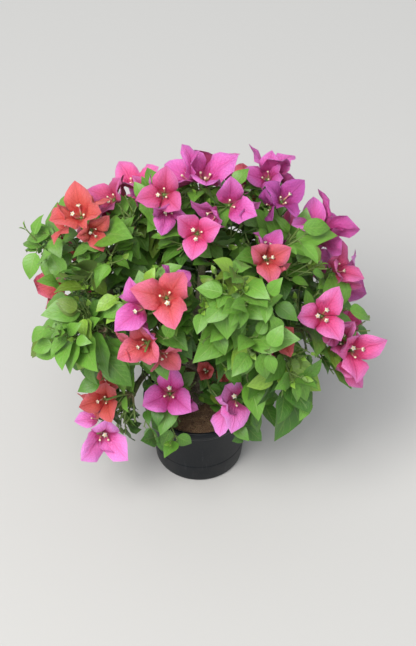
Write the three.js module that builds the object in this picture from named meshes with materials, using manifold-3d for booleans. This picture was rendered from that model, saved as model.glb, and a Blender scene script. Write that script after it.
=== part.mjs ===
// A young bougainvillea bush in its round nursery pot, in flower. Millimetres and degrees, +Z up. The
// origin is the middle of the pot's flat underside, and -Y is the front.
import * as THREE from 'three';
import { mergeVertices } from 'three/addons/utils/BufferGeometryUtils.js';
import Module from 'manifold-3d';

const wasm = await Module();
wasm.setup();

// Pot: a thin moulded shell with a rolled lip, a shoulder below it and drain holes round the bottom.
const RIM_RADIUS = 70;
const BASE_RADIUS = 56;
const POT_HEIGHT = 108;
const POT_WALL = 1.8;
const POT_FLOOR = 2.2;
const LIP_HEIGHT = 9;
const LIP_DEPTH = 2.6;
const SHOULDER_HEIGHT = 17;
const SHOULDER_DEPTH = 1.1;
const SHOULDER_SLOPE = 1.5;
const FOOT_BEVEL = 2.5;
const LIP_BEVEL = 1;
const POT_FACETS = 32;
const DRAIN_HOLES = 6;
const DRAIN_RADIUS = 4.5;
const DRAIN_RING_RADIUS = 38;

// Root ball: the potting mix that fills the pot, a little below the rim.
const MIX_LEVEL = 99;
const MIX_EDGE_DROP = 3.5;
const MIX_FLAT_RADIUS = 22;
const MIX_SHELF_RADIUS = 47;
const MIX_SHELF_DROP = 1.4;

// Gap kept between two pieces that touch.
const GAP = 0.3;

// Trunk: short and woody, flared where it meets the mix, leaning a little to the right.
const TRUNK_TOP = [9, 2, 161];
const TRUNK_RISE = 18;
const TRUNK_LEAN = [-7, -4, -20];
const TRUNK_RADIUS = 8.2;
const TRUNK_TIP_RADIUS = 6.6;
const FLARE_RADIUS = 14;
const FLARE_HEIGHT = 13;
const FLARE_LOBES = 4;
const FLARE_LOBE_DEPTH = 0.16;
const TRUNK_SIDES = 12;
const TRUNK_STEPS = 8;

// Limbs are tapering tubes along one curve each.
const LIMB_SIDES = 6;
const LIMB_STEPS = 6;
const LIMB_HANDLE = 0.4;

// Foliage: each mass starts as a pruned knuckle on its bough, with leafy shoots round it. The draws of mass
// number N start from SEED * SEED_STEP + N * MASS_STEP.
const SEED = 4;
const SEED_STEP = 1000;
const MASS_STEP = 77;
const CROWN_FLOOR = 34;
const KNUCKLE_LENGTH = 15;
const KNUCKLE_SWELL = 0.18;
const CELL_REACH = 46;
const CELL_MARGIN = 0.4;
const LIMB_CLEARANCE = 3.4;
const POT_CLEARANCE = 2.5;
const SHOOT_STEPS = 4;
const SHOOT_RADIUS = 2.1;
const SHOOT_TIP_RADIUS = 1.4;
const SHOOT_SPREAD = 64;
const SHOOT_JITTER = 16;
const LEADER_OPENING = 8;
const TWIG_SIDES = 3;
const SHOWN_TWIG_STEPS = 3;
const SHOWN_TWIG_ARCH = 0.08;

// Leaves: one a third of a turn on from the next, tried on other sides and smaller where there is no room.
const PHYLLOTAXY = 120;
const LEAF_OPENING = 58;
const LEAF_TRIES = 6;
const LEAF_SHRINK = 0.07;
const TIP_LEAF_SIZE = 0.72;
const LEAF_WIDTH = 0.56;
const LEAF_FOLD = 0.22;
const LEAF_SAG = 0.1;
const FACE_UP = 0.8;

// Florets: three bracts round the head of a short stalk.
const BRACT_LENGTH = 44;
const BRACT_WIDTH = 0.8;
const BRACT_FOLD = 0.12;
const BRACT_CUP = 0.06;
const BRACT_OPENING = 54;
const FLORET_LEAN = 24;
const STALK_LENGTH = 17;
const STALK_RADIUS = 1.3;
const HEAD_RADIUS = 2.6;
const HEAD_DEPTH = 2.4;
const HEAD_SIDE = 0.6;

// A blade is widest at its shoulder and narrows past its cheek. These are parts of its length and of its
// width.
const SHOULDER = [0.4, 0.5];
const CHEEK = [0.74, 0.3];
const BLADE_THICKNESS = 1.5;
const SINK = 0.5;
const ROOT_LENGTH = 8;
const SAMPLE_PARTS = 5;
const TWIG_CLEARANCE = 1.6;
const BLADE_CLEARANCE = 4;

// The boughs, in the order that they are fitted. Each springs from a limb at a fraction of its length,
// leaves it at one angle above level and arrives at its tip at another. Its mass faces out at an azimuth
// and a lift.
const BOUGHS = [
  { name: 'top', from: 'trunk', at: 0.97, tip: [4, 4, 352], leave: 70, arrive: 84,
    radii: [5.4, 4.0], out: [90, 84], shoots: 6, shoot: 62, leaf: 62, blooms: 4, rise: 0.02, reach: 56 },
  { name: 'left', from: 'trunk', at: 0.52, tip: [-102, 2, 336], leave: 24, arrive: 97,
    radii: [6.6, 5.3], out: [192, 60], shoots: 6, shoot: 56, leaf: 64, blooms: 1, rise: 0.04 },
  { name: 'right', from: 'trunk', at: 0.6, tip: [112, -34, 250], leave: 46, arrive: 22,
    radii: [5.6, 4.0], out: [-14, 34], shoots: 5, shoot: 54, leaf: 60, blooms: 1, rise: 0.03 },
  { name: 'front_left', from: 'trunk', at: 0.84, tip: [-46, -68, 304], leave: 48, arrive: 74,
    radii: [5.0, 3.8], out: [248, 50], shoots: 5, shoot: 52, leaf: 62, blooms: 1, rise: 0.04 },
  { name: 'back_left', from: 'trunk', at: 0.74, tip: [-46, 68, 292], leave: 48, arrive: 70,
    radii: [5.2, 3.8], out: [126, 46], shoots: 6, shoot: 60, leaf: 64, blooms: 4, rise: 0.04 },
  { name: 'back_right', from: 'trunk', at: 0.66, tip: [62, 72, 286], leave: 46, arrive: 68,
    radii: [5.2, 3.8], out: [50, 42], shoots: 6, shoot: 60, leaf: 64, blooms: 4, rise: 0.04 },
  { name: 'front_low', from: 'trunk', at: 0.3, tip: [-26, -38, 146], leave: 20, arrive: 30,
    radii: [3.6, 2.8], out: [-100, 30], shoots: 3, shoot: 34, leaf: 40, blooms: 0, rise: 0.04 },
  { name: 'front_inner', from: 'trunk', at: 0.42, tip: [34, -36, 150], leave: 24, arrive: 26,
    radii: [3.4, 2.6], out: [-64, 20], shoots: 3, shoot: 30, leaf: 38, blooms: 0, rise: 0.02, reach: 26 },
  { name: 'front', from: 'front_left', at: 0.3, tip: [30, -76, 312], leave: 46, arrive: 66,
    radii: [4.2, 3.2], out: [-70, 40], shoots: 5, shoot: 50, leaf: 62, blooms: 1, rise: 0.04 },
  { name: 'top_right', from: 'top', at: 0.28, tip: [78, -8, 324], leave: 50, arrive: 66,
    radii: [4.2, 3.2], out: [-12, 58], shoots: 6, shoot: 56, leaf: 60, blooms: 4, rise: 0.04 },
  { name: 'left_mid', from: 'left', at: 0.5, tip: [-106, -50, 276], leave: 34, arrive: 50,
    radii: [4.2, 3.4], out: [214, 6], shoots: 4, shoot: 42, leaf: 60, blooms: 1, rise: 0.0 },
  { name: 'left_low', from: 'left', at: 0.26, tip: [-76, -48, 178], leave: 6, arrive: -12,
    radii: [4.0, 3.2], out: [214, -14], shoots: 4, shoot: 40, leaf: 52, blooms: 0, rise: -0.12 },
  { name: 'front_right', from: 'right', at: 0.34, tip: [64, -58, 262], leave: 40, arrive: 20,
    radii: [4.0, 3.2], out: [-50, -34], shoots: 4, shoot: 42, leaf: 66, blooms: 1, rise: -0.06 },
  { name: 'back_low', from: 'back_left', at: 0.3, tip: [6, 80, 206], leave: 24, arrive: 24,
    radii: [4.0, 3.2], out: [88, 4], shoots: 6, shoot: 52, leaf: 64, blooms: 3, rise: -0.04 },
  { name: 'left_back', from: 'back_left', at: 0.42, tip: [-88, 46, 222], leave: 20, arrive: 20,
    radii: [4.0, 3.2], out: [160, 8], shoots: 6, shoot: 52, leaf: 64, blooms: 3, rise: -0.02 },
  { name: 'right_back', from: 'back_right', at: 0.4, tip: [102, 44, 224], leave: 20, arrive: 16,
    radii: [4.0, 3.2], out: [20, 6], shoots: 6, shoot: 52, leaf: 64, blooms: 3, rise: -0.02 },
];

// The leaves and florets that stand out at the front, each on a twig of its own from its mass's knuckle. A
// leaf is placed by its root and points along its azimuth and lift, a floret by its head and opens along
// them.
const SHOWN = [
  { mass: 'right', floret: 42, at: [138, -58, 294], out: [-84, 48] },
  { mass: 'right', floret: 44, at: [176, -62, 240], out: [-66, 34] },
  { mass: 'right', leaf: 58, at: [150, -42, 226], out: [-50, -34] },
  { mass: 'front_right', leaf: 94, at: [116, -72, 230], out: [-111, -39] },
  { mass: 'front_right', leaf: 62, at: [68, -84, 274], out: [-104, -46] },
  { mass: 'front_right', leaf: 60, at: [88, -92, 262], out: [-34, -24] },
  { mass: 'front', leaf: 66, at: [24, -86, 386], out: [-90, -44] },
  { mass: 'front_left', floret: 44, at: [-38, -98, 372], out: [-100, 50] },
  { mass: 'front_left', floret: 38, at: [-62, -100, 306], out: [-120, 30] },
  { mass: 'left', leaf: 62, at: [-107, 8, 383], out: [-114, -43] },
  { mass: 'left_mid', leaf: 50, at: [-128, -56, 312], out: [-147, -24] },
  { mass: 'left_mid', leaf: 62, at: [-118, -66, 304], out: [-82, -44] },
  { mass: 'left_low', floret: 36, at: [-114, -64, 176], out: [-110, 30] },
  { mass: 'left_low', floret: 46, at: [-119, -68, 116], out: [-100, -30] },
  { mass: 'left_low', leaf: 50, at: [-92, -74, 170], out: [-96, -42] },
  { mass: 'front_low', floret: 44, at: [-37, -66, 182], out: [-100, 46] },
  { mass: 'front_inner', floret: 46, at: [42, -70, 172], out: [-80, 40] },
];

const POT_COLOUR = 0x25282b;
const MIX_COLOUR = 0x4a3427;
const BARK_COLOUR = 0x7d6f5a;
const FOLIAGE_COLOUR = 0x5c8f32;

const UP = new THREE.Vector3(0, 0, 1);
const point = ([x, y, z]) => new THREE.Vector3(x, y, z);
const radians = THREE.MathUtils.degToRad;

// Draws numbers from 0 to 1, the same ones for the same seed.
function seededDraw(seed) {
  let state = seed;
  return () => {
    state = (1664525 * state + 1013904223) % 4294967296;
    return state / 4294967296;
  };
}

// A unit vector from its azimuth and its lift above level.
function heading(azimuth, lift) {
  const level = Math.cos(radians(lift));
  return new THREE.Vector3(
    level * Math.cos(radians(azimuth)), level * Math.sin(radians(azimuth)), Math.sin(radians(lift)));
}

// The direction that opens from an axis by an angle, turned about it by a spin. Zero spin is the side
// nearest up.
function opened(axis, opening, spin) {
  const aside = Math.abs(axis.z) > 0.95 ? new THREE.Vector3(0, 1, 0) : UP;
  const side = aside.clone().addScaledVector(axis, -aside.dot(axis)).normalize();
  const other = axis.clone().cross(side);
  return axis.clone().multiplyScalar(Math.cos(radians(opening)))
    .addScaledVector(side, Math.sin(radians(opening)) * Math.cos(radians(spin)))
    .addScaledVector(other, Math.sin(radians(opening)) * Math.sin(radians(spin)));
}

function indexedGeometry(points, faces) {
  const geometry = new THREE.BufferGeometry();
  const numbers = points.flatMap((p) => [p.x, p.y, p.z]);
  geometry.setAttribute('position', new THREE.Float32BufferAttribute(numbers, 3));
  geometry.setIndex(faces.flat());
  return geometry;
}

function solidOf(geometry) {
  const bare = geometry.clone();
  bare.deleteAttribute('normal');
  bare.deleteAttribute('uv');
  const merged = mergeVertices(bare, 1e-4);
  return new wasm.Manifold(new wasm.Mesh({
    numProp: 3,
    vertProperties: new Float32Array(merged.attributes.position.array),
    triVerts: new Uint32Array(merged.index.array),
  }));
}

function geometryOf(solid) {
  const mesh = solid.getMesh();
  const geometry = new THREE.BufferGeometry();
  geometry.setAttribute('position', new THREE.BufferAttribute(new Float32Array(mesh.vertProperties), 3));
  geometry.setIndex(new THREE.BufferAttribute(new Uint32Array(mesh.triVerts), 1));
  geometry.computeVertexNormals();
  return geometry;
}

// Keeps the largest body, so that scraps cut loose and hollows sealed by joining are gone.
function largestBody(solid) {
  return solid.decompose().reduce((best, body) => (body.volume() > best.volume() ? body : best));
}

// A closed tube along a line of points, one ring of corners at each, with flat ends. Each ring is square to
// the line, and its corners are carried on from the ring before so that the tube doesn't twist.
function tubeGeometry(line, radiusAt, sides, firstCorner = null) {
  const corners = [];
  const faces = [];
  const last = line.length - 1;
  let across = firstCorner?.clone() ?? null;
  line.forEach((centre, i) => {
    const along = line[Math.min(i + 1, last)].clone().sub(line[Math.max(i - 1, 0)]).normalize();
    across ??= along.clone().cross(Math.abs(along.z) > 0.9 ? new THREE.Vector3(1, 0, 0) : UP);
    across = across.addScaledVector(along, -across.dot(along)).normalize();
    const third = along.clone().cross(across);
    for (let k = 0; k < sides; k += 1) {
      const turn = (2 * Math.PI * k) / sides;
      const radius = radiusAt(i / last, turn);
      corners.push(centre.clone()
        .addScaledVector(across, radius * Math.cos(turn))
        .addScaledVector(third, radius * Math.sin(turn)));
    }
  });
  for (let i = 0; i < last; i += 1) {
    for (let k = 0; k < sides; k += 1) {
      const a = i * sides + k;
      const b = i * sides + ((k + 1) % sides);
      faces.push([a, b, b + sides], [a, b + sides, a + sides]);
    }
  }
  for (let k = 1; k < sides - 1; k += 1) {
    faces.push([0, k + 1, k], [last * sides, last * sides + k, last * sides + k + 1]);
  }
  return indexedGeometry(corners, faces);
}

function potGeometry() {
  const wallRadius = (z) => BASE_RADIUS + ((RIM_RADIUS - LIP_DEPTH - BASE_RADIUS) * z) / POT_HEIGHT;
  const lipFoot = POT_HEIGHT - LIP_HEIGHT;
  const shoulder = POT_HEIGHT - SHOULDER_HEIGHT;
  const outline = [
    [0, 0],
    [BASE_RADIUS - FOOT_BEVEL, 0],
    [BASE_RADIUS, FOOT_BEVEL],
    [wallRadius(shoulder) - SHOULDER_DEPTH, shoulder],
    [wallRadius(shoulder), shoulder + SHOULDER_SLOPE],
    [wallRadius(lipFoot), lipFoot],
    [RIM_RADIUS, lipFoot + LIP_BEVEL],
    [RIM_RADIUS, POT_HEIGHT - LIP_BEVEL],
    [RIM_RADIUS - LIP_BEVEL, POT_HEIGHT],
    [wallRadius(POT_HEIGHT) - POT_WALL, POT_HEIGHT],
    [BASE_RADIUS - POT_WALL - SHOULDER_DEPTH, POT_FLOOR],
    [0, POT_FLOOR],
  ];
  const shell = new THREE.LatheGeometry(outline.map(([r, z]) => new THREE.Vector2(r, z)), POT_FACETS);
  shell.rotateX(Math.PI / 2);
  let pot = solidOf(shell);
  for (let i = 0; i < DRAIN_HOLES; i += 1) {
    const turn = (2 * Math.PI * (i + 0.5)) / DRAIN_HOLES;
    const drill = new THREE.CylinderGeometry(DRAIN_RADIUS, DRAIN_RADIUS, 4 * POT_FLOOR, 10);
    drill.rotateX(Math.PI / 2);
    drill.translate(DRAIN_RING_RADIUS * Math.cos(turn), DRAIN_RING_RADIUS * Math.sin(turn), 0);
    pot = pot.subtract(solidOf(drill));
  }
  return geometryOf(pot);
}

// The mix follows the inside of the wall and is flat in the middle, where the trunk stands on it.
function mixGeometry() {
  const foot = BASE_RADIUS - POT_WALL - SHOULDER_DEPTH - GAP;
  const brim = RIM_RADIUS - LIP_DEPTH - POT_WALL - GAP;
  const floor = POT_FLOOR + GAP;
  const edge = MIX_LEVEL - MIX_EDGE_DROP;
  const innerRadius = (z) => foot + ((brim - foot) * (z - floor)) / (POT_HEIGHT - floor);
  const outline = [
    [0, floor],
    [foot, floor],
    [innerRadius(edge), edge],
    [MIX_SHELF_RADIUS, MIX_LEVEL - MIX_SHELF_DROP],
    [MIX_FLAT_RADIUS, MIX_LEVEL],
    [0, MIX_LEVEL],
  ];
  const ball = new THREE.LatheGeometry(outline.map(([r, z]) => new THREE.Vector2(r, z)), POT_FACETS);
  ball.rotateX(Math.PI / 2);
  return geometryOf(solidOf(ball));
}

// The middle line of the trunk bows a little before it leans to its top.
function trunkLine() {
  const foot = new THREE.Vector3(0, 0, MIX_LEVEL + GAP);
  const top = point(TRUNK_TOP);
  const curve = new THREE.CubicBezierCurve3(
    foot, foot.clone().addScaledVector(UP, TRUNK_RISE), top.clone().add(point(TRUNK_LEAN)), top);
  return curve.getPoints(TRUNK_STEPS);
}

// The flare swells in a few lobes towards the roots and is gone at its height above the mix.
function trunkRadius(fraction, turn) {
  const height = fraction * (TRUNK_TOP[2] - MIX_LEVEL);
  const swell = Math.max(0, 1 - height / FLARE_HEIGHT) ** 2;
  const lobe = 1 + FLARE_LOBE_DEPTH * Math.cos(FLARE_LOBES * turn);
  const stem = THREE.MathUtils.lerp(TRUNK_RADIUS, TRUNK_TIP_RADIUS, fraction);
  return stem + (FLARE_RADIUS - TRUNK_RADIUS) * swell * lobe;
}

function twigRadius(fraction) {
  return THREE.MathUtils.lerp(SHOOT_RADIUS, SHOOT_TIP_RADIUS, fraction);
}

// A bough's middle line starts on the middle line of the limb that carries it and bends evenly to its tip.
function boughLine(bough, parentLine) {
  const place = bough.at * (parentLine.length - 1);
  const before = Math.min(Math.floor(place), parentLine.length - 2);
  const start = parentLine[before].clone().lerp(parentLine[before + 1], place - before);
  const tip = point(bough.tip);
  const run = tip.clone().sub(start);
  const azimuth = THREE.MathUtils.radToDeg(Math.atan2(run.y, run.x));
  const handle = LIMB_HANDLE * run.length();
  const curve = new THREE.CubicBezierCurve3(
    start,
    start.clone().addScaledVector(heading(azimuth, bough.leave), handle),
    tip.clone().addScaledVector(heading(azimuth, bough.arrive), -handle),
    tip);
  return curve.getPoints(LIMB_STEPS);
}

// Distance from a point to a limb's surface, taken as a round cone between each two points of its line.
function distanceToLimb(place, limb) {
  let nearest = Infinity;
  for (let i = 0; i < limb.line.length - 1; i += 1) {
    const a = limb.line[i];
    const run = limb.line[i + 1].clone().sub(a);
    const t = THREE.MathUtils.clamp(place.clone().sub(a).dot(run) / run.lengthSq(), 0, 1);
    const radius = limb.radiusAt((i + t) / (limb.line.length - 1), 0);
    nearest = Math.min(nearest, place.distanceTo(a.clone().addScaledVector(run, t)) - radius);
  }
  return nearest;
}

function clearOfPot(place) {
  const wide = Math.hypot(place.x, place.y) < RIM_RADIUS + POT_CLEARANCE;
  return place.z > CROWN_FLOOR && !(wide && place.z < POT_HEIGHT + POT_CLEARANCE);
}

// A mass's own space is what lies nearer to its heart than to any other mass's.
function inOwnSpace(place, mass, masses, margin) {
  return masses.every((other) => {
    if (other === mass) {
      return true;
    }
    const across = other.heart.clone().sub(mass.heart);
    const middle = mass.heart.clone().add(other.heart).multiplyScalar(0.5);
    return place.clone().sub(middle).dot(across) / across.length() < -margin;
  });
}

// A leaf or bract is a thin lens over six corners: its root, two on each side and its tip. The sides rise
// from the midrib by the fold, and the blade sags towards the tip.
function blade({ root, along, face, length, width, fold, sag }) {
  const up = face.clone().addScaledVector(along, -face.dot(along)).normalize();
  const side = along.clone().cross(up);
  const at = (t, s) => root.clone()
    .addScaledVector(along, t * length)
    .addScaledVector(side, s * width * length)
    .addScaledVector(up, fold * Math.abs(s) * width * length - sag * length * Math.max(t, 0) ** 2);
  const outline = [
    at(-SINK / length, 0), at(SHOULDER[0], SHOULDER[1]), at(CHEEK[0], CHEEK[1]),
    at(1, 0), at(CHEEK[0], -CHEEK[1]), at(SHOULDER[0], -SHOULDER[1]),
  ];
  const middle = at(0.5, 0);
  const above = middle.clone().addScaledVector(up, BLADE_THICKNESS / 2);
  const below = middle.clone().addScaledVector(up, -BLADE_THICKNESS / 2);
  const points = [...outline, above, below];
  const faces = [];
  for (let k = 0; k < 6; k += 1) {
    const next = (k + 1) % 6;
    faces.push([6, k, next], [7, next, k]);
  }
  return { points, faces, outline, middle };
}

// Places spread over a blade, close enough together that no limb passes between them.
function bladeSamples({ outline, middle }) {
  const places = [];
  outline.forEach((corner, k) => {
    const next = outline[(k + 1) % outline.length];
    for (let i = 0; i <= SAMPLE_PARTS; i += 1) {
      for (let j = 0; j <= SAMPLE_PARTS - i; j += 1) {
        places.push(middle.clone()
          .addScaledVector(corner.clone().sub(middle), i / SAMPLE_PARTS)
          .addScaledVector(next.clone().sub(middle), j / SAMPLE_PARTS));
      }
    }
  });
  return places;
}

// A blade fits where it keeps to its mass's space and stays clear of the pot, the limbs, the twigs, and the
// blades that grew before it. It meets its own twig only at its root, and may meet the bracts that share
// its head.
function bladeFits(leaf, mass, masses, limbs) {
  const beyondRoot = leaf.samples.filter((place) => place.distanceTo(leaf.root) > ROOT_LENGTH);
  return leaf.outline.every((corner) => inOwnSpace(corner, mass, masses, CELL_MARGIN + 1))
    && leaf.samples.every((place) => clearOfPot(place)
      && limbs.every((limb) => distanceToLimb(place, limb) > LIMB_CLEARANCE))
    && beyondRoot.every((place) => mass.twigs.every((twig) => distanceToLimb(place, twig) > TWIG_CLEARANCE))
    && mass.blades.every((other) => other.head === leaf.head
      || leaf.samples.every((one) => other.samples.every((two) => one.distanceTo(two) > BLADE_CLEARANCE)));
}

function twigFits(places, mass, masses, limbs) {
  return places.every((place) => inOwnSpace(place, mass, masses, CELL_MARGIN + SHOOT_RADIUS)
    && clearOfPot(place)
    && limbs.every((limb) => distanceToLimb(place, limb) > SHOOT_RADIUS + 1));
}

// A shoot goes on step by step, turning up or down a little at each, until it would leave the mass's space.
function growShoot(start, direction, length, mass, masses, limbs) {
  const line = [start];
  const way = direction.clone();
  for (let i = 0; i < SHOOT_STEPS; i += 1) {
    way.addScaledVector(UP, mass.bough.rise).normalize();
    const from = line[line.length - 1];
    const to = from.clone().addScaledVector(way, length / SHOOT_STEPS);
    if (!twigFits([from.clone().lerp(to, 0.5), to], mass, masses, limbs)) {
      break;
    }
    line.push(to);
  }
  return line;
}

// The shoots of a mass: the first goes straight out from the knuckle's end, the others open round its
// middle.
function growShoots(mass, masses, limbs, between) {
  const [stemFoot, stemEnd] = mass.stem;
  for (let k = 0; k < mass.bough.shoots; k += 1) {
    const leading = k === 0;
    const wobble = between(-1, 1);
    const opening = leading ? LEADER_OPENING * (1 + wobble) : SHOOT_SPREAD + SHOOT_JITTER * wobble;
    const spin = (360 * k) / (mass.bough.shoots - 1) + between(-SHOOT_JITTER, SHOOT_JITTER);
    const direction = opened(mass.out, opening, spin);
    const start = stemFoot.clone().lerp(stemEnd, leading ? 0.9 : between(0.45, 0.85));
    const length = mass.bough.shoot * between(0.8, 1.15);
    const turn = between(0, 360);
    const line = growShoot(start, direction, length, mass, masses, limbs);
    if (line.length > 2) {
      const firstCorner = opened(direction, 90, turn - PHYLLOTAXY / 2);
      mass.twigs.push({ line, radiusAt: twigRadius, firstCorner, turn, blooming: k < mass.bough.blooms });
    }
  }
}

// A blade with what the fitting tests need: its root, the head that it shares and places spread over it.
function makeBlade(options, head) {
  const shape = blade(options);
  return { ...shape, head, root: options.root, samples: bladeSamples(shape) };
}

function addLeaf(options, mass, masses, limbs) {
  const leaf = makeBlade(options, options.root);
  const fits = bladeFits(leaf, mass, masses, limbs);
  if (fits) {
    mass.blades.push(leaf);
  }
  return fits;
}

// A leaf at each step of a shoot, each a third of a turn on from the one before. One that doesn't fit is
// tried on the twig's other two sides, smaller each time, and then left out.
function growLeaves(twig, mass, masses, limbs, between) {
  const { line, turn } = twig;
  for (let i = 1; i < line.length; i += 1) {
    const last = i === line.length - 1;
    const way = line[i].clone().sub(line[i - 1]).normalize();
    const root = line[i - 1].clone().lerp(line[i], last ? 0.9 : 0.6);
    const size = mass.bough.leaf * (last ? TIP_LEAF_SIZE : 1) * between(0.8, 1.18);
    const lift = between(-0.34, 0.04);
    const sag = between(0.06, 0.2);
    const roll = between(-0.35, 0.35);
    for (let attempt = 0; attempt < LEAF_TRIES; attempt += 1) {
      const side = opened(way, LEAF_OPENING, turn + PHYLLOTAXY * (i + attempt));
      const along = side.addScaledVector(UP, lift).normalize();
      const face = mass.out.clone().addScaledVector(UP, FACE_UP).addScaledVector(opened(along, 90, 90), roll);
      const length = size * (1 - LEAF_SHRINK * attempt);
      const options = { root, along, face, length, width: LEAF_WIDTH, fold: LEAF_FOLD, sag };
      if (addLeaf(options, mass, masses, limbs)) {
        break;
      }
    }
  }
}

// A floret is three bracts round a head, where a short stalk from its twig widens. It is tried at three
// turns about its axis, and keeps the one where most of its bracts fit.
function addFloret(foot, head, axis, length, mass, masses, limbs, between) {
  const first = between(0, 120);
  const tries = [0, 40, 80].map((more) => {
    const spins = [0, 120, 240].map((third) => first + more + third);
    const bracts = spins.map((spin) => {
      const root = head.clone()
        .addScaledVector(axis, -HEAD_DEPTH)
        .addScaledVector(opened(axis, 90, spin), HEAD_SIDE);
      const along = opened(axis, BRACT_OPENING, spin);
      const shape = { length, width: BRACT_WIDTH, fold: BRACT_FOLD, sag: -BRACT_CUP };
      return makeBlade({ root, along, face: axis, ...shape }, head);
    });
    const fitting = bracts.filter((bract) => bladeFits(bract, mass, masses, limbs));
    return { corner: opened(axis, 90, spins[0] + 180), bracts: fitting };
  });
  const best = tries.reduce((one, two) => (two.bracts.length > one.bracts.length ? two : one));
  const fits = best.bracts.length > 1;
  if (fits) {
    mass.blades.push(...best.bracts);
    mass.stalks.push({
      line: [foot.clone().addScaledVector(axis, SINK - SHOOT_TIP_RADIUS), head],
      radiusAt: (f) => THREE.MathUtils.lerp(STALK_RADIUS, HEAD_RADIUS, f),
      firstCorner: best.corner,
    });
  }
  return fits;
}

// The twigs, leaves and florets of a mass that have places of their own.
function growShown(mass, masses, limbs, between) {
  const [stemFoot, stemEnd] = mass.stem;
  SHOWN.filter((item) => item.mass === mass.bough.name).forEach((item) => {
    const way = heading(...item.out);
    const place = point(item.at);
    const foot = item.floret ? place.clone().addScaledVector(way, -STALK_LENGTH) : place;
    const start = stemFoot.clone().lerp(stemEnd, between(0.6, 0.9));
    const arch = SHOWN_TWIG_ARCH * start.distanceTo(foot);
    const middle = start.clone().lerp(foot, 0.5).addScaledVector(UP, arch);
    const line = new THREE.QuadraticBezierCurve3(start, middle, foot).getPoints(SHOWN_TWIG_STEPS);
    mass.twigs.push({ line, radiusAt: twigRadius, firstCorner: null, bare: true });
    if (item.floret) {
      addFloret(foot, place, way, item.floret, mass, masses, limbs, between);
    } else {
      const face = mass.out.clone().addScaledVector(UP, FACE_UP);
      const shape = { length: item.leaf, width: LEAF_WIDTH, fold: LEAF_FOLD, sag: LEAF_SAG };
      addLeaf({ root: place, along: way, face, ...shape }, mass, masses, limbs);
    }
  });
}

// The floret at a shoot's end leans off to one side of the shoot and out of the crown. Where there is no
// room for it the shoot is cut back by a step, and it grows there.
function growFloret(twig, mass, masses, limbs, between) {
  const length = BRACT_LENGTH * between(0.88, 1.12);
  const stalk = STALK_LENGTH * between(0.7, 1.1);
  for (let last = twig.line.length - 1; last > 1; last -= 1) {
    const tip = twig.line[last];
    const way = tip.clone().sub(twig.line[last - 1]).normalize();
    const axis = opened(way, FLORET_LEAN, twig.turn).addScaledVector(mass.out, 0.4).normalize();
    const head = tip.clone().addScaledVector(axis, stalk);
    if (addFloret(tip, head, axis, length, mass, masses, limbs, between)) {
      twig.line = twig.line.slice(0, last + 1);
      return;
    }
  }
}

// Grows one mass whole and joins it into one solid: its knuckle on from the bough's tip, shoots, florets
// and leaves.
function growMass(mass, index, masses, limbs) {
  const draw = seededDraw(SEED * SEED_STEP + index * MASS_STEP);
  const between = (low, high) => low + (high - low) * draw();
  growShown(mass, masses, limbs, between);
  growShoots(mass, masses, limbs, between);
  mass.twigs.filter((twig) => twig.blooming)
    .forEach((twig) => growFloret(twig, mass, masses, limbs, between));
  mass.twigs.filter((twig) => !twig.bare)
    .forEach((twig) => growLeaves(twig, mass, masses, limbs, between));
  const stem = tubeGeometry(mass.stem, (f) => mass.bough.radii[1] * (1 + KNUCKLE_SWELL * f), LIMB_SIDES);
  const pieces = [
    stem,
    ...[...mass.twigs, ...mass.stalks]
      .map((twig) => tubeGeometry(twig.line, twig.radiusAt, TWIG_SIDES, twig.firstCorner)),
    ...mass.blades.map((leaf) => indexedGeometry(leaf.points, leaf.faces)),
  ];
  return largestBody(pieces.map(solidOf).reduce((all, piece) => all.add(piece)));
}

const bush = new THREE.Group();

function addPiece(name, geometry, colour, roughness) {
  const material = new THREE.MeshStandardMaterial({ color: colour, roughness, metalness: 0 });
  const piece = new THREE.Mesh(geometry, material);
  piece.name = name;
  bush.add(piece);
}

addPiece('pot', potGeometry(), POT_COLOUR, 0.45);
addPiece('root_ball', mixGeometry(), MIX_COLOUR, 0.95);

// Trunk and boughs: each bough is cut back to a gap where it meets the limbs that were there before it.
const limbs = [{ name: 'trunk', line: trunkLine(), radiusAt: trunkRadius, sides: TRUNK_SIDES }];
BOUGHS.forEach((bough) => {
  const parent = limbs.find((limb) => limb.name === bough.from);
  const [thick, thin] = bough.radii;
  limbs.push({
    name: bough.name,
    line: boughLine(bough, parent.line),
    radiusAt: (f) => THREE.MathUtils.lerp(thick, thin, f),
    sides: LIMB_SIDES,
  });
});

let taken = null;
limbs.forEach((limb, i) => {
  let solid = solidOf(tubeGeometry(limb.line, limb.radiusAt, limb.sides));
  if (taken) {
    solid = largestBody(solid.subtract(taken));
  }
  const grown = solidOf(tubeGeometry(limb.line, (f, turn) => limb.radiusAt(f, turn) + GAP, limb.sides));
  taken = taken ? taken.add(grown) : grown;
  addPiece(i === 0 ? 'trunk' : `bough_${limb.name}`, geometryOf(solid), BARK_COLOUR, 0.85);
});

// Foliage: every mass's heart is set before any of them grows, because the hearts share out the space.
const masses = BOUGHS.map((bough) => {
  const { line } = limbs.find((limb) => limb.name === bough.name);
  const tip = line[line.length - 1];
  const way = tip.clone().sub(line[line.length - 2]).normalize();
  const out = heading(...bough.out);
  const stem = [tip.clone().addScaledVector(way, GAP), tip.clone().addScaledVector(way, KNUCKLE_LENGTH)];
  const heart = tip.clone().addScaledVector(out, bough.reach ?? CELL_REACH);
  return { bough, out, stem, heart, twigs: [], stalks: [], blades: [] };
});
masses.forEach((mass, i) => {
  const solid = growMass(mass, i + 1, masses, limbs);
  addPiece(`foliage_${mass.bough.name}`, geometryOf(solid), FOLIAGE_COLOUR, 0.6);
});

export default bush;
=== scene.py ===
import math

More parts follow.
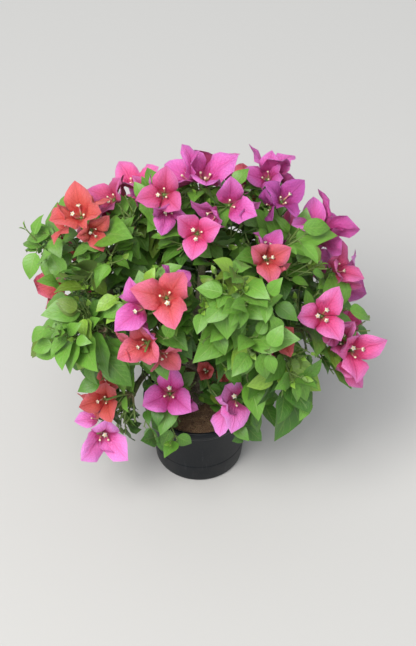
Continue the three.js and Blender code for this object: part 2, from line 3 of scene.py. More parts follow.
import bpy
import numpy as np
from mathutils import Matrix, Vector


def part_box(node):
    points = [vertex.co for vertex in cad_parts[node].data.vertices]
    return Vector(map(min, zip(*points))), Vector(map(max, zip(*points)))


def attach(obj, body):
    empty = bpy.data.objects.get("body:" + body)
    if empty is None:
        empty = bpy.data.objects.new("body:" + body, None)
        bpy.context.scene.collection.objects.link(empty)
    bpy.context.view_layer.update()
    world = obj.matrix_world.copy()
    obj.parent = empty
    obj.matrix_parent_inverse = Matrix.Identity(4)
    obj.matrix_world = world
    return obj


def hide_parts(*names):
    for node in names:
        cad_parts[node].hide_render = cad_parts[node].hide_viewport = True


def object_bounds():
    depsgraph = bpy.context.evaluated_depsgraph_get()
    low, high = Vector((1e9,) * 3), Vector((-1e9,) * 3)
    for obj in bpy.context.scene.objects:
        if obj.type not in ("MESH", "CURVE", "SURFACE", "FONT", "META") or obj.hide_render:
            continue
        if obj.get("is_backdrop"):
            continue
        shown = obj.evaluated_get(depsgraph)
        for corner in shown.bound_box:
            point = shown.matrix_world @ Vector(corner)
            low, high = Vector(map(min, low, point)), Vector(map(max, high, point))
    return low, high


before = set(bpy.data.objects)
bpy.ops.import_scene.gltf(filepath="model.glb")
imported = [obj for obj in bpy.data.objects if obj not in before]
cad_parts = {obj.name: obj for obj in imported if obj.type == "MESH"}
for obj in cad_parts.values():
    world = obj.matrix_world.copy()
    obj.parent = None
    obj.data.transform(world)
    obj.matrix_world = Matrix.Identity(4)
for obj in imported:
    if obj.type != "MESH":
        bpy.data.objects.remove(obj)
cad_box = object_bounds()

# The pot. A round nursery pot, injection moulded in black plastic: a thin wall that tapers to a flat
# underside, with a rolled lip, a shoulder under it where stacked pots rest, and six drain holes. It is satin
# where it is clean, and dusty and scuffed low down.
MM = 0.001
pot_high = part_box("pot")[1]
RIM_RADIUS = pot_high.x / MM
POT_HEIGHT = pot_high.z / MM
BASE_RADIUS = 56
POT_WALL = 1.8
POT_FLOOR = 2.2
LIP_HEIGHT = 9
LIP_DEPTH = 2.6
SHOULDER_HEIGHT = 17
SHOULDER_DEPTH = 1.1
SHOULDER_SLOPE = 1.5
FOOT_BEVEL = 2.5
LIP_BEVEL = 1
CORNER_REACH = 0.9
CORNER_STEPS = 4
DRAIN_HOLES = 6
DRAIN_RADIUS = 4.5
DRAIN_RING_RADIUS = 38
POT_SEGMENTS = 160
HOLE_SEGMENTS = 24
POT_BLACK = (0.0060, 0.0078, 0.0105, 1)
POT_DUST = (0.16, 0.145, 0.125, 1)


def add_piece(name, points, faces, material, slot, replaced=(), uv=None, age=None, margin=None):
    """One mesh piece from points in millimetres and groups of faces with like numbers of corners.

    uv is a place on the piece's own map for each corner of each face, age a shade from old to young for each
    point, and margin marks the points of a blade's edge, along which its two sides are shaded apart."""
    mesh = bpy.data.meshes.new(name)
    groups = [np.asarray(group) for group in faces]
    corners = np.concatenate([group.ravel() for group in groups])
    sizes = np.concatenate([np.full(len(group), group.shape[1]) for group in groups])
    mesh.vertices.add(len(points))
    mesh.vertices.foreach_set("co", (np.asarray(points) * MM).ravel())
    mesh.loops.add(len(corners))
    mesh.loops.foreach_set("vertex_index", corners)
    mesh.polygons.add(len(sizes))
    mesh.polygons.foreach_set("loop_start", np.cumsum(sizes) - sizes)
    mesh.polygons.foreach_set("use_smooth", np.ones(len(sizes), bool))
    mesh.update(calc_edges=True)
    if uv is not None:
        mesh.uv_layers.new(name="OFBake").data.foreach_set("uv", np.asarray(uv).ravel())
    if age is not None:
        mesh.attributes.new("age", "FLOAT", "POINT").data.foreach_set("value", np.asarray(age, float))
    if margin is not None:
        ends = np.zeros(2 * len(mesh.edges), int)
        mesh.edges.foreach_get("vertices", ends)
        sharp = margin[ends.reshape(-1, 2)].all(axis=1)
        mesh.attributes.new("sharp_edge", "BOOLEAN", "EDGE").data.foreach_set("value", sharp)
    mesh.materials.append(material)
    piece = bpy.data.objects.new(name, mesh)
    bpy.context.scene.collection.objects.link(piece)
    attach(piece, "root")
    if replaced:
        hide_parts(*replaced)
    return piece


def ring_faces(rings, sides, first=0):
    """Quads between each ring of corners and the next, closed round. The rings are wound anticlockwise."""
    ring = np.arange(rings - 1)[:, None] * sides
    side = np.arange(sides)[None, :]
    after = (side + 1) % sides
    quads = np.stack([ring + side, ring + after, ring + after + sides, ring + side + sides], axis=-1)
    return quads.reshape(-1, 4) + first


def repeated(faces, count, corners):
    """The faces of one shape, with their corners counted on for each of its copies."""
    faces = np.asarray(faces)
    return (faces + corners * np.arange(count)[:, None, None]).reshape(-1, faces.shape[1])


def fan(pole, first, sides, upward):
    """Triangles from a pole to the ring of corners that starts at first, facing up or down its axis."""
    side = np.arange(sides)
    after = (side + 1) % sides
    near, far = (side, after) if upward else (after, side)
    return np.stack([np.full(sides, pole), first + near, first + far], axis=-1)


def rounded(profile, reach):
    """The profile with each inner corner replaced by a parabola between two points a reach to its sides."""
    profile = np.asarray(profile, float)
    smooth = [profile[:1]]
    for before, corner, after in zip(profile[:-2], profile[1:-1], profile[2:]):
        back, on = before - corner, after - corner
        start = corner + back * min(reach / np.linalg.norm(back), 0.45)
        end = corner + on * min(reach / np.linalg.norm(on), 0.45)
        t = np.linspace(0, 1, CORNER_STEPS)[:, None]
        smooth.append((1 - t) ** 2 * start + 2 * t * (1 - t) * corner + t ** 2 * end)
    smooth.append(profile[-1:])
    return np.concatenate(smooth)


def turned(profile, segments):
    """A profile of radius and height turned round the Z axis. Its two ends are single poles on the axis."""
    turn = np.linspace(0, 2 * math.pi, segments, endpoint=False)
    radius, height = profile[1:-1, 0][:, None], profile[1:-1, 1][:, None]
    rings = np.stack([radius * np.cos(turn), radius * np.sin(turn), height + 0 * turn], axis=-1)
    poles = [[0, 0, profile[0, 1]], [0, 0, profile[-1, 1]]]
    points = np.concatenate([rings.reshape(-1, 3), poles])
    count = len(rings) * segments
    fans = [fan(count, 0, segments, False), fan(count + 1, count - segments, segments, True)]
    return points, [ring_faces(len(rings), segments), *fans]


def add_node(tree, kind, inputs=None, **settings):
    """Adds a node, sets what it is set to, and fills or links its inputs by name or number."""
    made = tree.nodes.new(kind)
    for name, value in settings.items():
        setattr(made, name, value)
    for key, value in (inputs or {}).items():
        if isinstance(value, bpy.types.NodeSocket):
            tree.links.new(value, made.inputs[key])
        else:
            made.inputs[key].default_value = value
    return made


def maths(tree, operation, *values):
    """The result of one sum on numbers or sockets."""
    return add_node(tree, "ShaderNodeMath", dict(enumerate(values)), operation=operation).outputs[0]


def times(tree, first, second):
    """Two numbers or sockets multiplied."""
    return maths(tree, "MULTIPLY", first, second)


def plus(tree, first, second):
    """Two numbers or sockets added."""
    return maths(tree, "ADD", first, second)


def blended(tree, factor, first, second):
    """Two colours mixed by a factor."""
    inputs = {0: factor, 6: first, 7: second}
    return add_node(tree, "ShaderNodeMix", inputs, data_type="RGBA").outputs[2]


def spread(tree, value, low, high, to_low=0.0, to_high=1.0):
    """A value's range from low to high made to run smoothly from one number to another."""
    inputs = {0: value, 1: low, 2: high, 3: to_low, 4: to_high}
    return add_node(tree, "ShaderNodeMapRange", inputs, interpolation_type="SMOOTHSTEP").outputs[0]


def patches(tree, place, scale, detail, roughness=0.55):
    """Cloudy noise from 0 to 1 at a place."""
    inputs = {"Vector": place, "Scale": scale, "Detail": detail, "Roughness": roughness}
    return add_node(tree, "ShaderNodeTexNoise", inputs).outputs[0]


def new_group(name, wanted, given):
    """An empty shader node group. wanted and given are its inputs and outputs, each a name and a kind."""
    tree = bpy.data.node_groups.new(name, "ShaderNodeTree")
    for label, kind in wanted:
        tree.interface.new_socket(label, in_out="INPUT", socket_type=kind)
    for label, kind in given:
        tree.interface.new_socket(label, in_out="OUTPUT", socket_type=kind)
    return tree, tree.nodes.new("NodeGroupInput").outputs, tree.nodes.new("NodeGroupOutput").inputs


def placed_group(tree, group, inputs):
    """A node group placed in a material with its own values."""
    return add_node(tree, "ShaderNodeGroup", inputs, node_tree=group).outputs


def new_material(name):
    """A material with one shader, and its node tree and shader inputs."""
    material = bpy.data.materials.new(name)
    material.use_nodes = True
    return material, material.node_tree, material.node_tree.nodes["Principled BSDF"].inputs


def on_object(tree):
    """The place on the plant, in metres."""
    return add_node(tree, "ShaderNodeTexCoord").outputs["Object"]


def on_map(tree):
    """The place on the piece's own map."""
    return add_node(tree, "ShaderNodeUVMap", uv_map="OFBake").outputs[0]


def bumped(tree, height, distance, strength):
    """A normal that rises and falls with a height, in metres of relief."""
    inputs = {"Height": height, "Distance": distance, "Strength": strength}
    return add_node(tree, "ShaderNodeBump", inputs).outputs[0]


# Fine grain: small hills over cloudy ones, the texture of moulded plastic.
grain_group, grain_in, grain_out = new_group(
    "fine_grain", [("Place", "NodeSocketVector"), ("Scale", "NodeSocketFloat")],
    [("Height", "NodeSocketFloat")])
grain_small = patches(grain_group, grain_in["Place"], grain_in["Scale"], 2.0)
grain_large = patches(grain_group, grain_in["Place"], times(grain_group, grain_in["Scale"], 0.2), 3.0)
grain_sum = plus(grain_group, grain_small, grain_large)
grain_group.links.new(times(grain_group, grain_sum, 0.5), grain_out["Height"])

# Dust: thickest low down and in patches. It gives out how much of it lies at each place.
dust_group, dust_in, dust_out = new_group(
    "dust", [("Place", "NodeSocketVector"), ("Top", "NodeSocketFloat"), ("Amount", "NodeSocketFloat")],
    [("Cover", "NodeSocketFloat")])
dust_height = add_node(dust_group, "ShaderNodeSeparateXYZ", {0: dust_in["Place"]}).outputs[2]
dust_low = spread(dust_group, maths(dust_group, "DIVIDE", dust_height, dust_in["Top"]), 0.0, 1.0, 1.0, 0.25)
dust_cloud = spread(dust_group, patches(dust_group, dust_in["Place"], 38.0, 6.0, 0.65), 0.42, 0.72)
dust_specks = spread(dust_group, patches(dust_group, dust_in["Place"], 420.0, 2.0), 0.6, 0.72)
dust_most = maths(dust_group, "MAXIMUM", dust_cloud, dust_specks)
dust_cover = times(dust_group, times(dust_group, dust_most, dust_low), dust_in["Amount"])
dust_group.links.new(dust_cover, dust_out["Cover"])

pot_plastic, tree, shader = new_material("pot_plastic")
place = on_object(tree)
dust = placed_group(tree, dust_group, {"Place": place, "Top": POT_HEIGHT * MM, "Amount": 0.06})["Cover"]
grain = placed_group(tree, grain_group, {"Place": place, "Scale": 2400.0})["Height"]
long_place = add_node(tree, "ShaderNodeMapping", {0: place, 3: (1.0, 1.0, 0.06)}).outputs[0]
scuffs = spread(tree, patches(tree, long_place, 260.0, 3.0), 0.62, 0.7)
scuffed = blended(tree, times(tree, scuffs, 0.2), POT_BLACK, (0.06, 0.063, 0.068, 1))
tree.links.new(blended(tree, dust, scuffed, POT_DUST), shader["Base Color"])
tree.links.new(plus(tree, times(tree, dust, 0.5), 0.36), shader["Roughness"])
tree.links.new(bumped(tree, grain, 0.00012, 0.6), shader["Normal"])
shader["Specular IOR Level"].default_value = 0.17


def wall_radius(height):
    """The wall's outer radius, which grows evenly from the base to the lip."""
    return BASE_RADIUS + (RIM_RADIUS - LIP_DEPTH - BASE_RADIUS) * height / POT_HEIGHT


shoulder_height = POT_HEIGHT - SHOULDER_HEIGHT
lip_foot = POT_HEIGHT - LIP_HEIGHT
pot_profile = rounded([
    (0, 0.0),
    (BASE_RADIUS - 14, 0.0),
    (BASE_RADIUS - FOOT_BEVEL, 0.0),
    (BASE_RADIUS, FOOT_BEVEL),
    (wall_radius(30) - SHOULDER_DEPTH * 0.35, 30),
    (wall_radius(31.5) - SHOULDER_DEPTH * 0.8, 31.5),
    (wall_radius(shoulder_height) - SHOULDER_DEPTH, shoulder_height),
    (wall_radius(shoulder_height), shoulder_height + SHOULDER_SLOPE),
    (wall_radius(lip_foot), lip_foot),
    (RIM_RADIUS - 0.4, lip_foot + 0.6),
    (RIM_RADIUS, lip_foot + LIP_BEVEL + 1),
    (RIM_RADIUS - 0.2, POT_HEIGHT - 1.6 * LIP_BEVEL),
    (RIM_RADIUS - 1.6 * LIP_BEVEL, POT_HEIGHT),
    (wall_radius(POT_HEIGHT) - POT_WALL, POT_HEIGHT - 0.4),
    (wall_radius(POT_HEIGHT - 3) - POT_WALL, POT_HEIGHT - 3),
    (BASE_RADIUS - POT_WALL - SHOULDER_DEPTH, POT_FLOOR),
    (0, POT_FLOOR),
], CORNER_REACH)
pot_points, pot_faces = turned(pot_profile, POT_SEGMENTS)
pot_piece = add_piece("nursery_pot", pot_points, pot_faces, pot_plastic, "pot", ["pot"])

# The drain holes are drilled by one cutter, which is gone once the cut is made.
hole_turns = (np.arange(DRAIN_HOLES) + 0.5) * 2 * math.pi / DRAIN_HOLES
hole_profile = np.array([(0, -3.0), (DRAIN_RADIUS, -3.0), (DRAIN_RADIUS, 2 * POT_FLOOR), (0, 2 * POT_FLOOR)])
hole_points, hole_faces = turned(hole_profile, HOLE_SEGMENTS)
hole_places = DRAIN_RING_RADIUS * np.stack([np.cos(hole_turns), np.sin(hole_turns), 0 * hole_turns], axis=-1)
cutter_points = (hole_points[None] + hole_places[:, None]).reshape(-1, 3)
cutter_faces = [repeated(group, DRAIN_HOLES, len(hole_points)) for group in hole_faces]
cutter = add_piece("drain_cutter", cutter_points, cutter_faces, pot_plastic, "pot")
drilling = pot_piece.modifiers.new("drain_holes", "BOOLEAN")
drilling.operation = "DIFFERENCE"
drilling.object = cutter
drilling.solver = "EXACT"
drilled = bpy.data.meshes.new_from_object(pot_piece.evaluated_get(bpy.context.evaluated_depsgraph_get()))
pot_piece.modifiers.clear()
pot_piece.data = drilled
bpy.data.objects.remove(cutter)

# The potting mix. Damp coir with bark crumbs that fills the pot to a little below its lip, settled lower at
# the wall. Its top is rough, with loose crumbs and fibres lying on it.
MIX_LEVEL = 99
MIX_EDGE_DROP = 3.5
GAP = 0.3
MIX_RINGS = 60
MIX_SEGMENTS = 180
CRUMBS = 1100
FIBRES = 700
MIX_BROWN = (0.300, 0.175, 0.098, 1)
MIX_DARK = (0.105, 0.064, 0.040, 1)
MIX_TAN = (0.50, 0.34, 0.20, 1)


def lattice_noise(points, seed):
    """Smooth noise from -1 to 1: a number is drawn for each whole-number place, and blended between them."""
    cell = np.floor(points).astype(np.int64)
    part = points - cell
    ease = part * part * (3 - 2 * part)
    total = np.zeros(points.shape[:-1])
    for corner in np.ndindex(2, 2, 2):
        x, y, z = np.moveaxis(cell + corner, -1, 0)
        mixed = (x * 73856093) ^ (y * 19349663) ^ (z * 83492791) ^ (seed * 265443)
        mixed = ((mixed ^ (mixed >> 13)) * 127412617) & 0x7FFFFFFF
        mixed = ((mixed ^ (mixed >> 11)) * 40503) & 0xFFFFF
        weight = np.prod(np.where(corner, ease, 1 - ease), axis=-1)
        total += weight * (mixed / 0x7FFFF - 1)
    return total


def rough_top(x, y):
    """The mix's height: a flat middle that drops to the wall, with lumps of three sizes."""
    distance = np.hypot(x, y)
    inner = wall_radius(MIX_LEVEL) - POT_WALL - GAP
    drop = MIX_EDGE_DROP * np.clip((distance - 22) / (inner - 22), 0, 1) ** 1.6
    flat = np.stack([x, y, 0 * x], axis=-1)
    hills = 1.5 * lattice_noise(flat / 14, 3) + 1.1 * lattice_noise(flat / 5, 4)
    hills = hills + 0.7 * lattice_noise(flat / 2, 5)
    return MIX_LEVEL - drop + hills * np.clip((inner - distance) / 4, 0.25, 1) - 0.6


def tubes(lines, radii, sides):
    """Closed tubes, one for each line of points: a ring of corners square to the line at each of its points.

    The ring's first corner is carried on from ring to ring, so that a tube doesn't twist."""
    lines = np.asarray(lines, float)
    count, steps = lines.shape[:2]
    along = np.gradient(lines, axis=1)
    along /= np.linalg.norm(along, axis=-1, keepdims=True)
    aside = np.where(np.abs(along[:, :1, 2:]) > 0.9, [[[1.0, 0.0, 0.0]]], [[[0.0, 0.0, 1.0]]])
    across = np.cross(along[:, 0], aside[:, 0])
    turn = np.linspace(0, 2 * math.pi, sides, endpoint=False)
    rings = []
    for step in range(steps):
        way = along[:, step]
        across = across - way * (across * way).sum(axis=-1, keepdims=True)
        across /= np.linalg.norm(across, axis=-1, keepdims=True)
        third = np.cross(way, across)
        out = across[:, None] * np.cos(turn)[:, None] + third[:, None] * np.sin(turn)[:, None]
        rings.append(lines[:, step][:, None] + out * np.asarray(radii)[:, step][:, None, None])
    points = np.stack(rings, axis=1).reshape(-1, 3)
    start = (np.arange(count) * steps * sides)[:, None]
    quads = repeated(ring_faces(steps, sides), count, steps * sides)
    foot = start + np.arange(sides)[::-1]
    top = start + (steps - 1) * sides + np.arange(sides)
    return points, [quads, np.concatenate([foot, top])]


def lumps(places, sizes, draw):
    """Crumbs: eight-sided lumps with their six corners pulled in and out by a draw and turned at random."""
    corners = np.array([(1, 0, 0), (0, 1, 0), (-1, 0, 0), (0, -1, 0), (0, 0, 0.8), (0, 0, -0.8)], float)
    faces = np.array([(0, 1, 4), (1, 2, 4), (2, 3, 4), (3, 0, 4), (1, 0, 5), (2, 1, 5), (3, 2, 5), (0, 3, 5)])
    count = len(places)
    pulled = corners * draw.uniform(0.55, 1.35, (count, 6, 1)) + draw.uniform(-0.2, 0.2, (count, 6, 3))
    spin, tip = draw.uniform(0, 2 * math.pi, (2, count, 1))
    x, y, z = np.moveaxis(pulled, -1, 0)
    x, y = x * np.cos(spin) - y * np.sin(spin), x * np.sin(spin) + y * np.cos(spin)
    y, z = y * np.cos(tip) - z * np.sin(tip), y * np.sin(tip) + z * np.cos(tip)
    points = places[:, None] + np.stack([x, y, z], axis=-1) * sizes[:, None, None]
    return points.reshape(-1, 3), repeated(faces, count, len(corners))


mix_coir, tree, shader = new_material("mix_coir")
place = on_object(tree)
crumb_cloud = patches(tree, place, 700.0, 5.0, 0.7)
damp = spread(tree, patches(tree, place, 60.0, 3.0), 0.35, 0.7)
crumb_colour = blended(tree, spread(tree, crumb_cloud, 0.35, 0.6), MIX_DARK, MIX_BROWN)
flecked = blended(tree, spread(tree, crumb_cloud, 0.62, 0.72), crumb_colour, MIX_TAN)
tree.links.new(blended(tree, times(tree, damp, 0.45), flecked, MIX_DARK), shader["Base Color"])
shader["Roughness"].default_value = 0.92
tree.links.new(bumped(tree, crumb_cloud, 0.0012, 0.9), shader["Normal"])

coir_fibre, tree, shader = new_material("coir_fibre")
place = on_object(tree)
fibre_cloud = patches(tree, place, 160.0, 3.0)
fibre_share = spread(tree, fibre_cloud, 0.35, 0.65)
fibre_colour = blended(tree, fibre_share, (0.16, 0.085, 0.042, 1), (0.36, 0.23, 0.12, 1))
tree.links.new(fibre_colour, shader["Base Color"])
shader["Roughness"].default_value = 0.75

mix_draw = np.random.default_rng(11)
mix_brim = wall_radius(MIX_LEVEL) - POT_WALL - GAP
mix_foot = BASE_RADIUS - POT_WALL - SHOULDER_DEPTH - GAP
mix_turn = np.linspace(0, 2 * math.pi, MIX_SEGMENTS, endpoint=False)
mix_radius = np.concatenate([
    np.linspace(0, mix_foot, 6)[1:], np.linspace(mix_foot, mix_brim - 0.6, 24)[1:],
    np.linspace(mix_brim - 0.6, 0, MIX_RINGS)[1:-1]])[:, None]
mix_x, mix_y = mix_radius * np.cos(mix_turn), mix_radius * np.sin(mix_turn)
mix_z = rough_top(mix_x, mix_y)
mix_z[:5] = POT_FLOOR + GAP
mix_wall = np.linspace(0, 1, 24)[1:-1, None]
mix_z[5:27] = POT_FLOOR + GAP + (mix_z[27] - POT_FLOOR - GAP) * mix_wall
mix_rings = np.stack([mix_x, mix_y, mix_z], axis=-1).reshape(-1, 3)
mix_poles = [[0, 0, POT_FLOOR + GAP], [0, 0, float(mix_z[-1].mean())]]
mix_points = np.concatenate([mix_rings, mix_poles])
mix_count = len(mix_rings)
mix_faces = [ring_faces(len(mix_radius), MIX_SEGMENTS), fan(mix_count, 0, MIX_SEGMENTS, False),
             fan(mix_count + 1, mix_count - MIX_SEGMENTS, MIX_SEGMENTS, True)]
add_piece("potting_mix", mix_points, mix_faces, mix_coir, "potting_mix", ["root_ball"])


def scattered(count, draw, edge):
    """Places spread evenly over the mix's top, at the root of a drawn share of its area."""
    radius = (mix_brim - edge) * np.sqrt(draw.uniform(0, 1, count))
    turn = draw.uniform(0, 2 * math.pi, count)
    x, y = radius * np.cos(turn), radius * np.sin(turn)
    return np.stack([x, y, rough_top(x, y)], axis=-1)


crumb_sizes = mix_draw.uniform(0.5, 1.0, CRUMBS) ** 3 * 2.6 + 0.4
crumb_places = scattered(CRUMBS, mix_draw, 3.5) + [0, 0, 0.15]
crumb_points, crumb_faces = lumps(crumb_places, crumb_sizes, mix_draw)
add_piece("mix_crumbs", crumb_points, [crumb_faces], mix_coir, "potting_mix")

fibre_middles = scattered(FIBRES, mix_draw, 9)
fibre_turns = mix_draw.uniform(0, math.pi, FIBRES)
fibre_lengths = mix_draw.uniform(3, 9, FIBRES)
fibre_steps = np.linspace(-1, 1, 7)
fibre_bows = mix_draw.uniform(-0.5, 0.5, FIBRES)
fibre_run = fibre_lengths[:, None] * fibre_steps
fibre_bow = (fibre_lengths * fibre_bows)[:, None] * fibre_steps ** 2
fibre_cos, fibre_sin = np.cos(fibre_turns)[:, None], np.sin(fibre_turns)[:, None]
fibre_x = fibre_middles[:, :1] + fibre_run * fibre_cos - fibre_bow * fibre_sin
fibre_y = fibre_middles[:, 1:2] + fibre_run * fibre_sin + fibre_bow * fibre_cos
fibre_arch = mix_draw.uniform(-0.2, 1.6, FIBRES)[:, None] * (1 - fibre_steps ** 2)
fibre_reach = np.minimum(1, (mix_brim - 1) / np.hypot(fibre_x, fibre_y))
fibre_x, fibre_y = fibre_x * fibre_reach, fibre_y * fibre_reach
fibre_lines = np.stack([fibre_x, fibre_y, rough_top(fibre_x, fibre_y) + 0.3 + fibre_arch], axis=-1)
fibre_radii = mix_draw.uniform(0.12, 0.3, FIBRES)[:, None] * (1 - 0.5 * fibre_steps ** 4)
add_piece("mix_fibres", *tubes(fibre_lines, fibre_radii, 4), coir_fibre, "potting_mix")

# The trunk and boughs. A short woody trunk, flared at its foot, carries tapering boughs that were pruned
# back: each ends in a knuckle with a dry cut, where this year's shoots spring. The bark is grey-brown, finely
# ridged and dotted with pale pores, and greener towards the tips.
TRUNK_TOP = (9, 2, 161)
TRUNK_RISE = 18
TRUNK_LEAN = (-7, -4, -20)
TRUNK_RADIUS = 8.2
TRUNK_TIP_RADIUS = 6.6
FLARE_RADIUS = 14
FLARE_HEIGHT = 13
FLARE_LOBES = 4
FLARE_LOBE_DEPTH = 0.16
TRUNK_STEPS = 8
LIMB_STEPS = 6
LIMB_HANDLE = 0.4
KNUCKLE_LENGTH = 15
KNUCKLE_SWELL = 0.18
BARK_STEP = 1.1
COLLAR_SWELL = 0.4
COLLAR_LENGTH = 6
NODE_SPACING = 24
NODE_TURN = 2.4
TRUNK_SIDES = 72
BOUGH_SIDES = 28
BOUGHS = [
    dict(name="top", start="trunk", at=0.97, tip=(4, 4, 352), leave=70, arrive=84,
         radii=(5.4, 4.0), out=(90, 84), shoots=6, shoot=62, leaf=62, blooms=4, rise=0.02, reach=56),
    dict(name="left", start="trunk", at=0.52, tip=(-102, 2, 336), leave=24, arrive=97,
         radii=(6.6, 5.3), out=(192, 60), shoots=6, shoot=56, leaf=64, blooms=1, rise=0.04),
    dict(name="right", start="trunk", at=0.6, tip=(112, -34, 250), leave=46, arrive=22,
         radii=(5.6, 4.0), out=(-14, 34), shoots=5, shoot=54, leaf=60, blooms=1, rise=0.03),
    dict(name="front_left", start="trunk", at=0.84, tip=(-46, -68, 304), leave=48, arrive=74,
         radii=(5.0, 3.8), out=(248, 50), shoots=5, shoot=52, leaf=62, blooms=1, rise=0.04),
    dict(name="back_left", start="trunk", at=0.74, tip=(-46, 68, 292), leave=48, arrive=70,
         radii=(5.2, 3.8), out=(126, 46), shoots=6, shoot=60, leaf=64, blooms=4, rise=0.04),
    dict(name="back_right", start="trunk", at=0.66, tip=(62, 72, 286), leave=46, arrive=68,
         radii=(5.2, 3.8), out=(50, 42), shoots=6, shoot=60, leaf=64, blooms=4, rise=0.04),
    dict(name="front_low", start="trunk", at=0.3, tip=(-26, -38, 146), leave=20, arrive=30,
         radii=(3.6, 2.8), out=(-100, 30), shoots=3, shoot=34, leaf=40, blooms=0, rise=0.04),
    dict(name="front_inner", start="trunk", at=0.42, tip=(34, -36, 150), leave=24, arrive=26,
         radii=(3.4, 2.6), out=(-64, 20), shoots=3, shoot=30, leaf=38, blooms=0, rise=0.02, reach=26),
    dict(name="front", start="front_left", at=0.3, tip=(30, -76, 312), leave=46, arrive=66,
         radii=(4.2, 3.2), out=(-70, 40), shoots=5, shoot=50, leaf=62, blooms=1, rise=0.04),
    dict(name="top_right", start="top", at=0.28, tip=(78, -8, 324), leave=50, arrive=66,
         radii=(4.2, 3.2), out=(-12, 58), shoots=6, shoot=56, leaf=60, blooms=4, rise=0.04),
    dict(name="left_mid", start="left", at=0.5, tip=(-106, -50, 276), leave=34, arrive=50,
         radii=(4.2, 3.4), out=(214, 6), shoots=4, shoot=42, leaf=60, blooms=1, rise=0.0),
    dict(name="left_low", start="left", at=0.26, tip=(-76, -48, 178), leave=6, arrive=-12,
         radii=(4.0, 3.2), out=(214, -14), shoots=4, shoot=40, leaf=52, blooms=0, rise=-0.12),
    dict(name="front_right", start="right", at=0.34, tip=(64, -58, 262), leave=40, arrive=20,
         radii=(4.0, 3.2), out=(-50, -34), shoots=4, shoot=42, leaf=66, blooms=1, rise=-0.06),
    dict(name="back_low", start="back_left", at=0.3, tip=(6, 80, 206), leave=24, arrive=24,
         radii=(4.0, 3.2), out=(88, 4), shoots=6, shoot=52, leaf=64, blooms=3, rise=-0.04),
    dict(name="left_back", start="back_left", at=0.42, tip=(-88, 46, 222), leave=20, arrive=20,
         radii=(4.0, 3.2), out=(160, 8), shoots=6, shoot=52, leaf=64, blooms=3, rise=-0.02),
    dict(name="right_back", start="back_right", at=0.4, tip=(102, 44, 224), leave=20, arrive=16,
         radii=(4.0, 3.2), out=(20, 6), shoots=6, shoot=52, leaf=64, blooms=3, rise=-0.02),
]
BARK_GREY = (0.20, 0.165, 0.12, 1)
BARK_BROWN = (0.085, 0.060, 0.038, 1)
BARK_PORE = (0.40, 0.35, 0.27, 1)
SHOOT_GREEN = (0.12, 0.19, 0.045, 1)
CUT_TAN = (0.36, 0.28, 0.17, 1)

bough_names = ["bough_" + bough["name"] for bough in BOUGHS]
mass_names = ["foliage_" + bough["name"] for bough in BOUGHS]
UP = np.array([0.0, 0.0, 1.0])


def unit(vector):
    """The vector or vectors at length 1."""
    return vector / np.linalg.norm(vector, axis=-1, keepdims=True)


def heading(azimuth, lift):
    """A unit vector from its azimuth and its lift above level, in degrees."""
    azimuth, lift = math.radians(azimuth), math.radians(lift)
    level = math.cos(lift)
    return np.array([level * math.cos(azimuth), level * math.sin(azimuth), math.sin(lift)])


def bezier(points, steps):
    """Places along a curve of two, three or four control points, at even steps of its parameter."""
    t = np.linspace(0, 1, steps + 1)[:, None]
    degree = len(points) - 1
    return sum(math.comb(degree, k) * (1 - t) ** (degree - k) * t ** k * points[k] for k in range(degree + 1))


def along_line(line, fraction):
    """The place at a fraction of a line, whose points stand at even fractions."""
    place = fraction * (len(line) - 1)
    before = min(int(place), len(line) - 2)
    return line[before] + (line[before + 1] - line[before]) * (place - before)


def trunk_controls():
    """The trunk's curve rises straight from the mix and leans over to its top."""
    foot = np.array([0.0, 0.0, MIX_LEVEL + GAP])
    top = np.array(TRUNK_TOP, float)
    return [foot, foot + TRUNK_RISE * UP, top + TRUNK_LEAN, top]


def trunk_radius(fraction, turn):
    """The trunk's even taper, with a lobed flare at its foot that dies away with the square of the height."""
    height = fraction * (TRUNK_TOP[2] - MIX_LEVEL)
    swell = np.maximum(0, 1 - height / FLARE_HEIGHT) ** 2
    lobe = 1 + FLARE_LOBE_DEPTH * np.cos(FLARE_LOBES * turn)
    stem = TRUNK_RADIUS + (TRUNK_TIP_RADIUS - TRUNK_RADIUS) * fraction
    return stem + (FLARE_RADIUS - TRUNK_RADIUS) * swell * lobe


def bough_controls(bough, parent_line):
    """A bough's curve starts on its parent's middle line, leaves at one lift and arrives at another."""
    start = along_line(parent_line, bough["at"])
    tip = np.array(bough["tip"], float)
    run = tip - start
    azimuth = math.degrees(math.atan2(run[1], run[0]))
    handle = LIMB_HANDLE * np.linalg.norm(run)
    return [start, start + heading(azimuth, bough["leave"]) * handle,
            tip - heading(azimuth, bough["arrive"]) * handle, tip]


# Each limb's line has the few points that the growing rule tests against, and its curve draws the bark.
limbs = [dict(name="trunk", curve=trunk_controls(), line=bezier(trunk_controls(), TRUNK_STEPS), radii=None)]
for bough in BOUGHS:
    parent = next(limb for limb in limbs if limb["name"] == bough["start"])
    curve = bough_controls(bough, parent["line"])
    limbs.append(dict(name=bough["name"], curve=curve, line=bezier(curve, LIMB_STEPS), radii=bough["radii"]))

